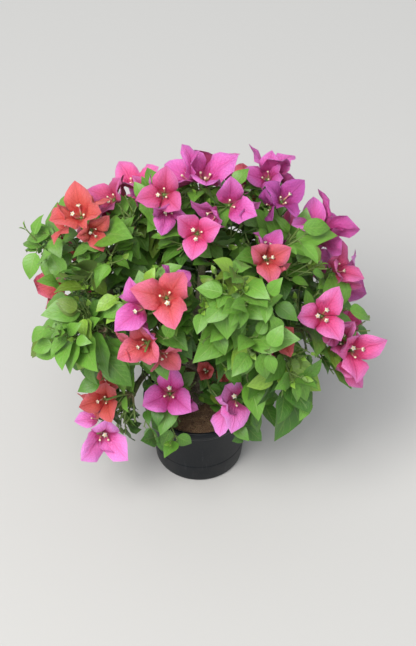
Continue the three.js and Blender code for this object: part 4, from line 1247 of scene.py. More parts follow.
def grow_spur(limb, fraction, lengths, between):
    """A short leafy spur that stands on a limb, in the space of the mass whose heart is nearest."""
    line = limb["line"]
    place = along_line(line, fraction)
    way = unit(along_line(line, min(1, fraction + 0.05)) - along_line(line, fraction - 0.05))
    side = unit(opened(way, SPUR_OPENING, between(0, 360)) + UP * 0.3)
    thick, thin = limb["radii"] or (TRUNK_RADIUS, TRUNK_TIP_RADIUS)
    start = place + side * 0.85 * (thick + (thin - thick) * fraction)
    length = between(*lengths)
    mass = min(masses, key=lambda one: np.linalg.norm(one["heart"] - start))
    spur = np.array([start, start + side * length / 2, start + side * length])
    clear = (in_own_space(spur[1:], mass, CELL_MARGIN + FINE_TWIG_RADIUS).all() and clear_of_pot(spur).all()
             and (distance_to_limbs(spur[2:]) > FINE_TWIG_RADIUS + 1).all() and open_to_view(spur[1:])
             and clear_of_blades(spur[1:], spur[2], length / 2, None, mass, 1.6))
    if not clear:
        return
    turn = between(0, 360)
    # Spur leaves stand inside the crown by the limbs, so most get the deep green of painted shade.
    shade = "deep" if between(0, 1) < 0.6 else "mid"
    add_twig(spur, mass, FINE_TWIG_RADIUS, FINE_TWIG_TIP_RADIUS, turn=turn, shade=shade, young=True)
    for i, share in enumerate(SPUR_LEAF_PLACES):
        size = between(*SPUR_LEAF_SIZES) * (0.8 if i == 2 else 1)
        grow_leaf(start + side * length * share, side, turn + PHYLLOTAXY * i, size, shade, mass, between,
                  FINE_TRIES, **fine_clearances)


for mass in masses:
    if mass["bough"]["name"] in LEAFY_ENDS:
        mass["florets"] = []
        mass["blades"] = [blade for blade in mass["blades"] if blade["kind"] == "leaf"]
later_draw = seeded_draw(FINE_SEED * SEED_STEP * 2)
for item in LATER_FLORETS:
    grow_later(item, later_draw)

for number, mass in enumerate(masses, 1):
    between = seeded_draw(FINE_SEED * SEED_STEP * 3 + number * MASS_STEP)
    for floret in list(mass["florets"]):
        grow_beside(floret, mass, between)

all_florets = [floret for mass in masses for floret in mass["florets"]]
view_feet = np.array([floret["head"] for floret in all_florets] + [MIX_VIEW_FOOT])
view_ways = np.array([floret["axis"] for floret in all_florets] + [heading(*MIX_VIEW_WAY)])
view_shares = np.array([VIEW_SHARE] * len(all_florets) + [MIX_VIEW_SHARE])
view_reaches = np.array([VIEW_REACH * floret["length"] for floret in all_florets] + [MIX_VIEW_REACH])
box_low, box_high = (np.array(corner) / MM for corner in cad_box)

spur_draw = seeded_draw(FINE_SEED * SEED_STEP * 5)
for lengths, spacing in SPURS:
    for limb in limbs:
        span = np.linalg.norm(np.diff(limb["line"], axis=0), axis=1).sum()
        for station in np.arange(SPUR_SPAN[0] * span, SPUR_SPAN[1] * span, spacing):
            grow_spur(limb, station / span, lengths, spur_draw)

# Three rounds of finer growth: from the first shoots, and then twice from everything that has grown. Each
# round keeps nearer to the masses' hearts, so that the last one fills the inside of the crown.
for generation, share in enumerate(GENERATION_REACH):
    for number, mass in enumerate(masses, 1):
        between = seeded_draw(FINE_SEED * SEED_STEP * (1 + 10 * generation) + number * MASS_STEP)
        for twig in list(mass["twigs"]):
            if "young" in twig and generation == 0:
                continue
            line = twig["line"]
            if np.linalg.norm(line[-1] - mass["heart"]) > 1.3 * share * mass["reach"]:
                continue
            shade = twig["shade"]
            if shade not in LEAF_SHADES:
                shade = spray_green_and_painted_light(line[-1], mass, between)
            for i in range(len(line) - 1):
                way = unit(line[i + 1] - line[i])
                turn = twig["turn"] + 60 + 90 * generation + PHYLLOTAXY * i
                if i or twig["bare"]:
                    root = line[i] + (line[i + 1] - line[i]) * 0.3
                    side = unit(opened(way, FINE_OPENING, turn) + mass["out"] * 0.25)
                    length = between(*SIDE_TWIG_LENGTHS)
                    grow_side_twig(root, side, length, share * mass["reach"], mass, between, shade)
                root = line[i] + (line[i + 1] - line[i]) * between(0.1, 0.5)
                size = mass["bough"]["leaf"] * between(*EXTRA_LEAF_SHARES)
                grow_leaf(root, way, turn + 180, size, shade, mass, between, FINE_TRIES, **fine_clearances)

# Each blade is drawn as two sheets that share their margin. The rows run from its base to its tip.
LEAF_ROWS = np.array([0, 0.07, 0.19, 0.34, 0.5, 0.66, 0.83, 1])
LEAF_COLUMNS = 5
BRACT_ROWS = np.array([0, 0.06, 0.18, 0.34, 0.52, 0.7, 0.86, 1])
BRACT_COLUMNS = 7
PETIOLE_SHARE = 0.13
BRACT_FOOT_SHARE = 0.03
BLADE_THICKNESS = 0.5
VARIANTS = 3
# light and deep are the mid green with painted light and painted shade; the others are greens of their own.
LEAF_GREENS_AND_PAINTED_LIGHT = dict(
    light=((0.112, 0.262, 0.031, 1), (0.16, 0.29, 0.09, 1)),
    mid=((0.082, 0.208, 0.024, 1), (0.14, 0.26, 0.07, 1)),
    olive=((0.112, 0.190, 0.018, 1), (0.16, 0.25, 0.06, 1)),
    deep=((0.048, 0.140, 0.016, 1), (0.10, 0.20, 0.05, 1)),
    lime=((0.200, 0.360, 0.040, 1), (0.25, 0.38, 0.10, 1)),
    young=((0.180, 0.330, 0.040, 1), (0.22, 0.34, 0.10, 1)))
BRACT_COLOURS = dict(
    hot_pink=((0.62, 0.030, 0.150, 1), (0.80, 0.100, 0.300, 1), (0.86, 0.210, 0.540, 1)),
    rose=((0.48, 0.026, 0.105, 1), (0.66, 0.085, 0.220, 1), (0.74, 0.150, 0.400, 1)),
    magenta=((0.46, 0.026, 0.170, 1), (0.66, 0.090, 0.380, 1), (0.80, 0.190, 0.600, 1)),
    purple=((0.30, 0.014, 0.150, 1), (0.46, 0.055, 0.310, 1), (0.56, 0.100, 0.440, 1)),
    coral=((0.54, 0.045, 0.052, 1), (0.70, 0.120, 0.125, 1), (0.80, 0.160, 0.280, 1)),
    red_coral=((0.52, 0.035, 0.034, 1), (0.68, 0.110, 0.080, 1), (0.76, 0.140, 0.150, 1)),
    pale_pink=((0.62, 0.060, 0.270, 1), (0.86, 0.200, 0.560, 1), (0.92, 0.300, 0.780, 1)))


def flipped(face):
    """The face turned over. It starts at the same corner, so that a quad is still split the same way."""
    return face[:1] + face[:0:-1]


def blade_template(rows, columns):
    """The grid of one blade: its places along and across, its faces, their places on the map, and its margin.

    The upper sheet's points come first, with the base and the tip as single points, and then the inner points
    of the lower sheet. On the map the upper sheet has the left half and the lower one the right half."""
    inner = len(rows) - 2
    across = np.linspace(-1, 1, columns)
    upper = np.arange(inner * columns).reshape(inner, columns)
    base, tip = inner * columns, inner * columns + 1
    lower = upper.copy()
    lower[:, 1:-1] = tip + 1 + np.arange(inner * (columns - 2)).reshape(inner, columns - 2)
    along = np.concatenate([np.repeat(rows[1:-1], columns), [0, 1], np.repeat(rows[1:-1], columns - 2)])
    over = np.concatenate([np.tile(across, inner), [0, 0], np.tile(across[1:-1], inner)])
    under = np.arange(len(along)) > tip
    quads, triangles, quad_uv, triangle_uv = [], [], [], []
    for sheet, grid in enumerate((upper, lower)):
        for c in range(columns - 1):
            cells = [(grid[r, c], grid[r, c + 1], grid[r + 1, c + 1], grid[r + 1, c])
                     for r in range(inner - 1)]
            ends = [(base, grid[0, c + 1], grid[0, c]), (tip, grid[-1, c], grid[-1, c + 1])]
            quads += [flipped(cell) for cell in cells] if sheet else cells
            triangles += [flipped(end) for end in ends] if sheet else ends
            places = [((across[c], rows[r + 1]), (across[c + 1], rows[r + 1]),
                       (across[c + 1], rows[r + 2]), (across[c], rows[r + 2])) for r in range(inner - 1)]
            middle = (across[c] + across[c + 1]) / 2
            end_places = [((middle, 0), (across[c + 1], rows[1]), (across[c], rows[1])),
                          ((middle, 1), (across[c], rows[-2]), (across[c + 1], rows[-2]))]
            quad_uv += [flipped(place) for place in places] if sheet else places
            triangle_uv += [flipped(place) for place in end_places] if sheet else end_places
    maps = []
    for places in (quad_uv, triangle_uv):
        places = np.array(places, float)
        half = len(places) // 2
        places[..., 0] = 0.25 + places[..., 0] * 0.24
        places[half:, :, 0] += 0.5
        maps.append(places)
    margin = np.isclose(np.abs(over), 1) | np.isin(np.arange(len(along)), [base, tip])
    return dict(along=along, over=over, under=under, quads=np.array(quads), triangles=np.array(triangles),
                maps=maps, margin=margin)


def facts_of(blades, key):
    """One fact of each blade, as a column or as rows."""
    values = np.array([blade[key] for blade in blades])
    return values[:, None, None] if values.ndim == 1 else values[:, None, :]


def leaf_outline(u):
    """Half the width along a leaf: round at its base, widest before its middle, drawn out to a fine point."""
    body = np.sin(math.pi / 2 * np.clip(u / 0.38, 0, 1) ** 0.62)
    point = np.clip(1 - np.clip((u - 0.38) / 0.62, 0, 1) ** 1.9, 0, 1) ** 1.15
    return np.where(u < 0.38, body, point)


def bract_outline(u):
    """Half the width along a bract: broad and round at its base, with a short point."""
    body = np.sin(math.pi / 2 * np.clip(u / 0.42, 0, 1) ** 0.6)
    point = np.clip(1 - np.clip((u - 0.42) / 0.58, 0, 1) ** 2.0, 0, 1)
    return np.where(u < 0.42, body, point)


def blade_sheets(blades, template, draw, outline, petiole, looks):
    """Many blades as one mesh, each bent from the template on its own frame, with small differences.

    looks holds the droop of the tip, the twist, the waviness of the margin, the crumpling of the sheet, the
    puffing up of each half, and bounds for the breadth and for how much more the blade curls up."""
    count = len(blades)
    root, way, up, side = (facts_of(blades, key) for key in ("root", "along", "up", "side"))
    length, width, fold, sag = (facts_of(blades, key)[..., 0] for key in ("length", "width", "fold", "sag"))
    u, s = template["along"][None], template["over"][None]
    t = petiole + (1 - petiole) * u
    droop, twist, wave, crumple, puff = (looks[key] * draw.uniform(0.4, 1.6, (count, 1)) for key in
                                         ("droop", "twist", "wave", "crumple", "puff"))
    lean = draw.uniform(-1, 1, (count, 1))
    phase, other_phase = draw.uniform(0, 2 * math.pi, (2, count, 1))
    half = 0.5 * width * length * outline(u) * draw.uniform(*looks["breadth"], (count, 1))
    across = half * s + 0.05 * lean * length * u ** 2
    cup = draw.uniform(*looks["cup"], (count, 1))
    rise = fold * half * np.abs(s) ** 1.2 + (cup - sag) * length * t ** 2
    rise = rise - droop * length * np.clip(u - 0.55, 0, 1) ** 2
    rise = rise + puff * half * np.sin(math.pi * np.abs(s)) * np.sin(math.pi * np.clip(u * 1.05, 0, 1))
    rise = rise + wave * length * np.abs(s) ** 3 * outline(u) * np.sin(11 * u + phase + (s > 0) * 1.7)
    rise = rise + crumple * length * np.sin(9 * u + 3 * s + other_phase) * np.sin(5 * s + phase) * outline(u)
    turn = twist * lean * u
    across, rise = across * np.cos(turn) - rise * np.sin(turn) * 0.3, rise + across * np.sin(turn)
    rise = rise - template["under"][None] * BLADE_THICKNESS * (1 - s ** 2)
    points = root + way * (t * length)[..., None] + side * across[..., None] + up * rise[..., None]
    faces = [repeated(template[key], count, points.shape[1]) for key in ("quads", "triangles")]
    band = draw.integers(0, VARIANTS, count)
    maps = []
    for places in template["maps"]:
        spread_out = np.repeat(places[None], count, axis=0)
        spread_out[..., 1] = (band[:, None, None] + 0.03 + 0.94 * spread_out[..., 1]) / VARIANTS
        maps.append(spread_out.reshape(-1, 2))
    return points.reshape(-1, 3), faces, np.concatenate(maps), np.tile(template["margin"], count)


# Veins: a midrib, and side veins that arch towards the tip. It reads the blade's own map, and gives out the
# veins, the cloudy mottling of the sheet, which side is up, and the way along and across the blade.
vein_group, vein_in, vein_out = new_group(
    "blade_veins", [("Map", "NodeSocketVector"), ("Pairs", "NodeSocketFloat"), ("Arch", "NodeSocketFloat")],
    [("Veins", "NodeSocketFloat"), ("Mottling", "NodeSocketFloat"), ("Underside", "NodeSocketFloat"),
     ("Along", "NodeSocketFloat"), ("Across", "NodeSocketFloat"), ("Variant", "NodeSocketFloat")])
vein_map = add_node(vein_group, "ShaderNodeSeparateXYZ", {0: vein_in["Map"]}).outputs
vein_under = maths(vein_group, "GREATER_THAN", vein_map[0], 0.5)
vein_half = maths(vein_group, "SUBTRACT", vein_map[0], times(vein_group, vein_under, 0.5))
vein_off_rib = maths(vein_group, "ABSOLUTE", maths(vein_group, "SUBTRACT", vein_half, 0.25))
vein_across = times(vein_group, vein_off_rib, 4.0)
vein_bands = times(vein_group, vein_map[1], float(VARIANTS))
vein_along = maths(vein_group, "FRACT", vein_bands)
vein_variant = maths(vein_group, "FLOOR", vein_bands)
vein_arch = times(vein_group, maths(vein_group, "POWER", vein_across, 0.8), vein_in["Arch"])
vein_phase = maths(vein_group, "SUBTRACT", vein_along, vein_arch)
vein_step = maths(vein_group, "FRACT", times(vein_group, vein_phase, vein_in["Pairs"]))
vein_wave = maths(vein_group, "ABSOLUTE", maths(vein_group, "SUBTRACT", vein_step, 0.5))
vein_side = spread(vein_group, vein_wave, 0.02, 0.1, 0.75, 0.0)
vein_side = times(vein_group, vein_side, spread(vein_group, vein_across, 0.55, 1.0, 1.0, 0.15))
vein_rib = spread(vein_group, vein_across, 0.02, 0.085, 1.0, 0.0)
vein_place = add_node(vein_group, "ShaderNodeVectorMath", {0: vein_in["Map"], 1: (26.0, 26.0, 1.0)},
                      operation="MULTIPLY").outputs[0]
vein_values = dict(
    Veins=maths(vein_group, "MAXIMUM", vein_side, vein_rib),
    Mottling=patches(vein_group, vein_place, 1.0, 4.0, 0.6),
    Underside=vein_under, Along=vein_along, Across=vein_across,
    Variant=maths(vein_group, "DIVIDE", vein_variant, float(VARIANTS - 1)))
for label, value in vein_values.items():
    vein_group.links.new(value, vein_out[label])


def scaled(colour, amount):
    """A colour made lighter or darker."""
    return tuple(min(1.0, part * amount) for part in colour[:3]) + (1,)


def leaf_material(name, top, under):
    """A smooth leaf: paler along its veins, mottled, duller on its underside."""
    material, tree, shader = new_material(name)
    place = on_map(tree)
    blade = placed_group(tree, vein_group, {"Map": place, "Pairs": 6.5, "Arch": 0.3})
    mottled = blended(tree, spread(tree, blade["Mottling"], 0.3, 0.7), scaled(top, 0.82), scaled(top, 1.16))
    varied = blended(tree, times(tree, blade["Variant"], 0.4), mottled, scaled(top, 1.5))
    edged = blended(tree, spread(tree, blade["Across"], 0.75, 1.0, 0.0, 0.35), varied, scaled(top, 0.75))
    pale = tuple(0.55 * part + 0.45 * more for part, more in zip(top[:3], (0.42, 0.55, 0.16))) + (1,)
    veined = blended(tree, times(tree, blade["Veins"], 0.3), edged, pale)
    below = blended(tree, times(tree, blade["Veins"], 0.4), under, scaled(under, 1.35))
    tree.links.new(blended(tree, blade["Underside"], veined, below), shader["Base Color"])
    rough = plus(tree, times(tree, blade["Underside"], 0.18), 0.42)
    tree.links.new(plus(tree, rough, times(tree, blade["Mottling"], 0.08)), shader["Roughness"])
    sunk = maths(tree, "SUBTRACT", times(tree, blade["Mottling"], 0.35), blade["Veins"])
    tree.links.new(bumped(tree, sunk, 0.0004, 0.5), shader["Normal"])
    shader["Subsurface Weight"].default_value = 0.12
    shader["Subsurface Radius"].default_value = (0.4, 1.0, 0.15)
    shader["Subsurface Scale"].default_value = 0.0012
    return material


def bract_material(name, deep, light, tip):
    """A papery bract: deepest along its fine veins, lighter between them, another tint towards its tip."""
    material, tree, shader = new_material(name)
    place = on_map(tree)
    blade = placed_group(tree, vein_group, {"Map": place, "Pairs": 8.0, "Arch": 0.45})
    sway_place = add_node(tree, "ShaderNodeMapping", {0: place, 3: (14.0, 18.0, 1.0)}).outputs[0]
    sway_inputs = {"Vector": sway_place, "Scale": 1.0, "Detail": 2.0}
    sway = add_node(tree, "ShaderNodeTexNoise", sway_inputs).outputs[1]
    cells_place = add_node(tree, "ShaderNodeMapping", {0: place, 3: (46.0, 66.0, 1.0)}).outputs[0]
    swayed = add_node(tree, "ShaderNodeVectorMath", {0: sway, 1: (2.5, 2.5, 0.0), 2: cells_place},
                      operation="MULTIPLY_ADD").outputs[0]
    cells = add_node(tree, "ShaderNodeTexVoronoi", {"Vector": swayed, "Scale": 1.0},
                     feature="DISTANCE_TO_EDGE").outputs["Distance"]
    net = spread(tree, cells, 0.0, 0.12, 0.24, 0.0)
    from_base = spread(tree, blade["Along"], 0.05, 0.5, -0.35, 0.3)
    lightened = blended(tree, spread(tree, plus(tree, blade["Mottling"], from_base), 0.28, 0.72), deep, light)
    varied = blended(tree, times(tree, blade["Variant"], 0.25), lightened, scaled(deep, 0.85))
    outward = spread(tree, plus(tree, blade["Along"], times(tree, blade["Across"], 0.4)), 0.4, 1.15, 0.0, 1.0)
    tipped = blended(tree, outward, varied, tip)
    veins = maths(tree, "MAXIMUM", times(tree, blade["Veins"], 0.42), net)
    veined = blended(tree, veins, tipped, scaled(deep, 0.72))
    base_share = spread(tree, blade["Along"], 0.02, 0.22, 0.45, 0.0)
    based = blended(tree, base_share, veined, (0.42, 0.20, 0.09, 1))
    paler = blended(tree, times(tree, blade["Underside"], 0.3), based, light)
    tree.links.new(paler, shader["Base Color"])
    tree.links.new(plus(tree, times(tree, blade["Mottling"], 0.15), 0.5), shader["Roughness"])
    raised = plus(tree, times(tree, blade["Mottling"], 1.6), veins)
    tree.links.new(bumped(tree, raised, 0.0011, 0.9), shader["Normal"])
    shader["Subsurface Weight"].default_value = 0.2
    shader["Subsurface Radius"].default_value = (1.0, 0.3, 0.5)
    shader["Subsurface Scale"].default_value = 0.0015
    return material


leaf_template = blade_template(LEAF_ROWS, LEAF_COLUMNS)
bract_template = blade_template(BRACT_ROWS, BRACT_COLUMNS)
leaf_looks = dict(droop=0.45, twist=0.5, wave=0.026, crumple=0.006, puff=0.12, breadth=(0.98, 1.16),
                  cup=(-0.04, 0.04))
bract_looks = dict(droop=0.85, twist=0.4, wave=0.085, crumple=0.042, puff=0.26, breadth=(0.92, 1.04),
                   cup=(0.0, 0.3))
look_draw = np.random.default_rng(23)
all_leaves = [blade for mass in masses for blade in mass["blades"] if blade["kind"] == "leaf"]
all_bracts = [blade for mass in masses for blade in mass["blades"] if blade["kind"] == "bract"]

# Young tips: a pair of small leaves, folded together still, on each twig that has no floret.
TIP_LENGTHS = (8, 15)
YOUNG_TIP_SHARE = 0.4
tip_leaves = []
tip_draw = seeded_draw(FINE_SEED * SEED_STEP + 5)
for mass in masses:
    for twig in mass["twigs"]:
        if twig["bare"] or any(floret["foot"] is twig["line"][-1] for floret in mass["florets"]):
            continue
        if "young" in twig and tip_draw(0, 1) > YOUNG_TIP_SHARE:
            continue
        way = unit(twig["line"][-1] - twig["line"][-2])
        for opening, turn in ((18, twig["turn"]), (32, twig["turn"] + 170)):
            along = unit(opened(way, opening, turn) + UP * 0.1)
            leaf = make_blade(twig["line"][-1] - way * 0.5, along, way * 0.2 + opened(way, 90, turn + 180),
                              tip_draw(*TIP_LENGTHS), 0.46, 0.35, -0.05, None)
            if in_own_space(leaf["outline"], mass, 0.2).all() and open_to_view(leaf["samples"]):
                tip_leaves.append(leaf)

# One piece and material for each green; the light and deep ones carry painted light and painted shade.
for shade, (top, under) in LEAF_GREENS_AND_PAINTED_LIGHT.items():
    chosen = tip_leaves if shade == "young" else [leaf for leaf in all_leaves if leaf["shade"] == shade]
    points, faces, uv, margin = blade_sheets(chosen, leaf_template, look_draw, leaf_outline, PETIOLE_SHARE,
                                             leaf_looks)
    add_piece("leaves_" + shade, points, faces, leaf_material("leaf_" + shade, top, under), "foliage",
              uv=uv, margin=margin)

for shade, (deep, light, tip) in BRACT_COLOURS.items():
    chosen = [bract for bract in all_bracts if bract["shade"] == shade]
    if not chosen:
        continue
    points, faces, uv, margin = blade_sheets(chosen, bract_template, look_draw, bract_outline,
                                             BRACT_FOOT_SHARE, bract_looks)
    add_piece("bracts_" + shade, points, faces, bract_material("bract_" + shade, deep, light, tip), "foliage",
              uv=uv, margin=margin)

# The twigs, stalks and petioles. Soft green twigs grow browner and firmer towards the knuckle, swell a little
# at each leaf, and carry curved thorns. Petioles and the stalks of florets are fine and green.
TWIG_RINGS = 25
TWIG_SIDES = 7
FINE_TWIG_RINGS = 10
FINE_TWIG_SIDES = 5
STALK_RINGS = 12
STALK_SIDES = 6
PETIOLE_SHAPE = np.array([1.25, 0.9, 0.8, 0.75, 0.6, 0.25])
PETIOLE_SIDES = 4
THORN_LENGTHS = (3.5, 7)
THORN_OPENING = 66
THORN_RADII = np.array([1.1, 0.75, 0.55, 0.4, 0.22, 0.06])
THORN_SIDES = 5


def smooth_line(line, count):
    """The line's corners rounded off by a curve through its points, with places at even steps."""
    line = np.asarray(line, float)
    padded = np.concatenate([[2 * line[0] - line[1]], line, [2 * line[-1] - line[-2]]])
    place = np.linspace(0, len(line) - 1, count)
    before = np.minimum(place.astype(int), len(line) - 2)
    t = (place - before)[:, None]
    a, b, c, d = (padded[before + k] for k in range(4))
    square, cube = 2 * a - 5 * b + 4 * c - d, 3 * b - a - 3 * c + d
    return 0.5 * (2 * b + (c - a) * t + square * t ** 2 + cube * t ** 3)


def corner_map(faces, values):
    """A value of each point, laid out for each corner of each face."""
    return np.concatenate([values[np.asarray(group).ravel()] for group in faces])


twig_green, tree, shader = new_material("twig_green")
place = on_map(tree)
age = add_node(tree, "ShaderNodeSeparateXYZ", {0: place}).outputs[1]
long_place = add_node(tree, "ShaderNodeMapping", {0: place, 3: (9.0, 60.0, 1.0)}).outputs[0]
twig_cloud = patches(tree, long_place, 1.0, 4.0, 0.6)
bronze = blended(tree, spread(tree, twig_cloud, 0.3, 0.7), (0.135, 0.085, 0.045, 1), (0.23, 0.165, 0.10, 1))
green = blended(tree, spread(tree, twig_cloud, 0.3, 0.7), (0.10, 0.17, 0.035, 1), (0.17, 0.25, 0.06, 1))
ripe = spread(tree, plus(tree, age, times(tree, twig_cloud, 0.25)), 0.3, 0.62)
tree.links.new(blended(tree, ripe, bronze, green), shader["Base Color"])
shader["Roughness"].default_value = 0.55
tree.links.new(bumped(tree, twig_cloud, 0.0006, 0.6), shader["Normal"])


def add_tubes(name, lines, radii, sides, ages, replaced=()):
    """A piece of many green tubes. On its map the way round runs across, and the age of the wood up."""
    points, faces = tubes(np.array(lines), np.array(radii), sides)
    way_round = np.tile(np.arange(sides) / sides, len(points) // sides)
    values = np.stack([way_round, np.repeat(np.array(ages).ravel(), sides)], axis=-1)
    add_piece(name, points, faces, twig_green, "foliage", replaced, uv=corner_map(faces, values))


for name, is_fine in (("twigs", False), ("side_twigs", True)):
    rings, sides = (FINE_TWIG_RINGS, FINE_TWIG_SIDES) if is_fine else (TWIG_RINGS, TWIG_SIDES)
    share = np.linspace(0, 1, rings)
    lines, radii, ages = [], [], []
    for twig in (twig for mass in masses for twig in mass["twigs"] if ("young" in twig) == is_fine):
        low, high = twig["radii"]
        steps = len(twig["line"]) - 1
        knots = np.exp(-((share * steps - np.round(share * steps - 0.6) - 0.6) / 0.07) ** 2)
        lines.append(smooth_line(twig["line"], rings))
        radii.append((low + (high - low) * share) * 0.8 * (1 + 0.28 * knots))
        ages.append((0.55 if is_fine else 0.12) + (0.36 if is_fine else 0.7) * share)
    add_tubes(name, lines, radii, sides, ages, () if is_fine else mass_names)

# The stalk of a floret bows a little, and widens into its head.
share = np.linspace(0, 1, STALK_RINGS)
lines, radii = [], []
for floret in (floret for mass in masses for floret in mass["florets"]):
    run = floret["head"] - floret["foot"] + floret["axis"]
    bow = 0.05 * np.linalg.norm(run) * np.sin(math.pi * share)[:, None] * UP
    lines.append(floret["foot"] - floret["axis"] + run * share[:, None] - bow)
    radii.append(0.75 + 1.15 * np.clip(share * 1.3 - 0.3, 0, 1) ** 2.2)
add_tubes("stalks", lines, radii, STALK_SIDES, np.full(np.shape(radii), 0.8))

petiole_lines, petiole_radii = [], []
petiole_steps = np.linspace(0, 1, len(PETIOLE_SHAPE))[:, None]
for leaf in all_leaves + tip_leaves:
    reach = (PETIOLE_SHARE + 0.1) * leaf["length"]
    dip = -0.16 * reach * np.sin(math.pi * petiole_steps) * leaf["up"]
    petiole_lines.append(leaf["root"] + leaf["along"] * (reach * petiole_steps - 1.2) + dip
                         - leaf["up"] * 0.3 * petiole_steps)
    petiole_radii.append((0.55 + 0.5 * leaf["length"] / 60) * PETIOLE_SHAPE)
add_tubes("petioles", petiole_lines, petiole_radii, PETIOLE_SIDES, np.full(np.shape(petiole_radii), 0.9))

thorn_lines = []
thorn_draw = seeded_draw(FINE_SEED * SEED_STEP + 6)
thorn_steps = np.linspace(0, 1, len(THORN_RADII))[:, None]
for mass in masses:
    for twig in mass["twigs"]:
        if "young" in twig:
            continue
        line = smooth_line(twig["line"], TWIG_RINGS)
        for i in range(1, len(twig["line"])):
            spot = int((i - 0.38) / (len(twig["line"]) - 1) * (TWIG_RINGS - 1))
            way = unit(line[spot + 1] - line[spot])
            out = opened(way, THORN_OPENING, twig["turn"] + PHYLLOTAXY * i + 40)
            thorn = thorn_draw(*THORN_LENGTHS)
            thorn_lines.append(line[spot] + out * thorn * thorn_steps - way * 0.22 * thorn * thorn_steps ** 2)
thorn_radii = np.tile(THORN_RADII, (len(thorn_lines), 1))
add_tubes("thorns", thorn_lines, thorn_radii, THORN_SIDES, np.full(thorn_radii.shape, 0.35))

# The true flowers. One slender tube stands on the midrib of each bract, and opens in a small cream star.
TUBE_LENGTHS = (11, 16)
TUBE_RINGS = 9
TUBE_SIDES = 7
OPEN_STAR_SHARE = 0.42
STAR_RADIUS = 3.6
STAR_CORNERS = 10
STAR_NOTCH = 0.62
tube_steps = np.linspace(0, 1, TUBE_RINGS)[:, None]
star_turns = np.linspace(0, 2 * math.pi, STAR_CORNERS, endpoint=False)
star_spans = np.where(np.arange(STAR_CORNERS) % 2, STAR_NOTCH, 1.0)
flower_draw = np.random.default_rng(31)
tube_lines, tube_radii, star_points = [], [], []
for mass in masses:
    for floret in mass["florets"]:
        for bract in floret["bracts"]:
            size = floret["length"] / BRACT_LENGTH
            open_star = flower_draw.random() < OPEN_STAR_SHARE
            tube = size * flower_draw.uniform(*TUBE_LENGTHS) * (1 if open_star else 0.8)
            out = unit(floret["axis"] + bract["along"] * 0.55)
            aside = unit(np.cross(out, bract["side"]))
            start = bract["root"] + bract["along"] * 3 * size + bract["up"] * 0.4
            line = start + out * tube * tube_steps + aside * 0.1 * tube * np.sin(math.pi * tube_steps)
            tube_lines.append(line)
            end_width = 1.5 if open_star else 1.25
            tube_radii.append(size * np.array([0.7, 1.0, 1.2, 1.15, 0.95, 0.95, 1.1, 1.35, end_width]))
            if open_star:
                across = unit(np.cross(out, UP + 0.01))
                third = np.cross(out, across)
                spans = STAR_RADIUS * size * star_spans[:, None]
                rim = spans * (np.cos(star_turns)[:, None] * across + np.sin(star_turns)[:, None] * third)
                rim = rim + out * (0.9 * star_spans[:, None] - 0.2)
                poles = [line[-1] + out * 0.1, line[-1] - out * 0.7]
                star_points.append(np.concatenate([line[-1] + rim, poles]))
star_fans = np.concatenate([fan(STAR_CORNERS, 0, STAR_CORNERS, True),
                            fan(STAR_CORNERS + 1, 0, STAR_CORNERS, False)])
star_faces = repeated(star_fans, len(star_points), STAR_CORNERS + 2)
star_map = np.concatenate([0.5 + 0.45 * np.stack([np.cos(star_turns), np.sin(star_turns)], axis=-1)
                           * star_spans[:, None], [[0.5, 0.5], [0.5, 0.5]]])
star_values = np.tile(star_map, (len(star_points), 1))

flower_cream, tree, shader = new_material("flower_cream")
place = on_map(tree)
from_middle = add_node(tree, "ShaderNodeVectorMath", {0: place, 1: (0.5, 0.5, 0.0)},
                       operation="DISTANCE").outputs[1]
eye = spread(tree, from_middle, 0.04, 0.2)
tree.links.new(blended(tree, eye, (0.62, 0.46, 0.10, 1), (0.86, 0.83, 0.68, 1)), shader["Base Color"])
shader["Roughness"].default_value = 0.6
add_piece("flower_stars", np.concatenate(star_points), [star_faces], flower_cream, "foliage",
          uv=corner_map([star_faces], star_values))

flower_tube, tree, shader = new_material("flower_tube")
place = on_map(tree)
height = add_node(tree, "ShaderNodeSeparateXYZ", {0: place}).outputs[1]
blush = blended(tree, spread(tree, height, 0.1, 0.6), (0.34, 0.30, 0.10, 1), (0.66, 0.22, 0.26, 1))
mouth = spread(tree, height, 0.7, 0.98)
tree.links.new(blended(tree, mouth, blush, (0.80, 0.72, 0.50, 1)), shader["Base Color"])
shader["Roughness"].default_value = 0.6
tube_points, tube_faces = tubes(np.array(tube_lines), np.array(tube_radii), TUBE_SIDES)
tube_side = np.tile(np.arange(TUBE_SIDES) / TUBE_SIDES, len(tube_lines) * TUBE_RINGS)
tube_height = np.tile(np.repeat(tube_steps[:, 0], TUBE_SIDES), len(tube_lines))
add_piece("flower_tubes", tube_points, tube_faces, flower_tube, "foliage",
          uv=corner_map(tube_faces, np.stack([tube_side, tube_height], axis=-1)))

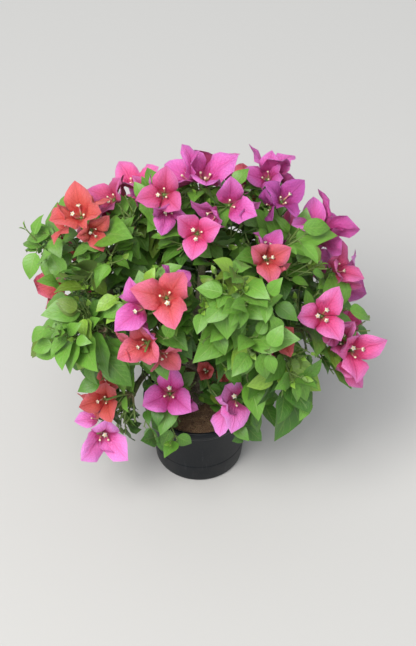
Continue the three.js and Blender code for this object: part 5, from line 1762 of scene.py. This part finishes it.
# The floor, the light and the camera. A plain pale floor that runs to the horizon, a large soft lamp above
# the front left, a broad soft sun and an even sky. The camera looks down on the plant as the photograph does.
FLOOR_REACH = 300000
KEY_PLACE = (-1.0, -1.1, 2.3)
KEY_AIM = (0, 0, 0.25)
KEY_SIZE = 1.1
KEY_POWER = 42
KEY_COLOUR = (1.0, 0.97, 0.93)
SUN_POWER = 1.8
SUN_WIDTH = math.radians(50)
SUN_TURNS = (math.radians(28), math.radians(-16), 0)
SKY_POWER = 0.56
SKY_COLOUR = (0.93, 0.96, 1.0, 1)
CAMERA_PLACE = (-0.053, -1.124, 1.370)
CAMERA_AIM = (0.012, 0.0, 0.232)
SENSOR_HEIGHT = 24
FOCAL_SHARE = 1340 / 646

floor_paint, tree, shader = new_material("floor_paint")
shader["Base Color"].default_value = (0.52, 0.515, 0.50, 1)
shader["Roughness"].default_value = 0.9
floor_points = np.array([(-1, -1, 0), (1, -1, 0), (1, 1, 0), (-1, 1, 0)]) * FLOOR_REACH
floor_mesh = bpy.data.meshes.new("floor")
floor_mesh.from_pydata((floor_points * MM).tolist(), [], [(0, 1, 2, 3)])
floor_mesh.materials.append(floor_paint)
floor = bpy.data.objects.new("floor", floor_mesh)
bpy.context.scene.collection.objects.link(floor)
floor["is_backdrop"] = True


def add_aimed(name, facts, place, aim):
    """A lamp or a camera at a place, facing a point."""
    holder = bpy.data.objects.new(name, facts)
    holder.location = place
    holder.rotation_euler = (Vector(aim) - Vector(place)).to_track_quat("-Z", "Y").to_euler()
    bpy.context.scene.collection.objects.link(holder)
    return holder


key = bpy.data.lights.new("key_lamp", "AREA")
key.size = KEY_SIZE
key.energy = KEY_POWER
key.color = KEY_COLOUR
add_aimed("key_lamp", key, KEY_PLACE, KEY_AIM)
sun = bpy.data.lights.new("sky_lamp", "SUN")
sun.energy = SUN_POWER
sun.angle = SUN_WIDTH
sun_holder = bpy.data.objects.new("sky_lamp", sun)
sun_holder.rotation_euler = SUN_TURNS
bpy.context.scene.collection.objects.link(sun_holder)
world = bpy.data.worlds.new("soft_light")
world.use_nodes = True
world.node_tree.nodes["Background"].inputs[0].default_value = SKY_COLOUR
world.node_tree.nodes["Background"].inputs[1].default_value = SKY_POWER
bpy.context.scene.world = world
bpy.context.scene.view_settings.view_transform = "Standard"

camera_facts = bpy.data.cameras.new("camera")
camera_facts.sensor_fit = "VERTICAL"
camera_facts.sensor_height = SENSOR_HEIGHT
camera_facts.lens = SENSOR_HEIGHT * FOCAL_SHARE
bpy.context.scene.camera = add_aimed("camera", camera_facts, CAMERA_PLACE, CAMERA_AIM)

low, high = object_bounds()
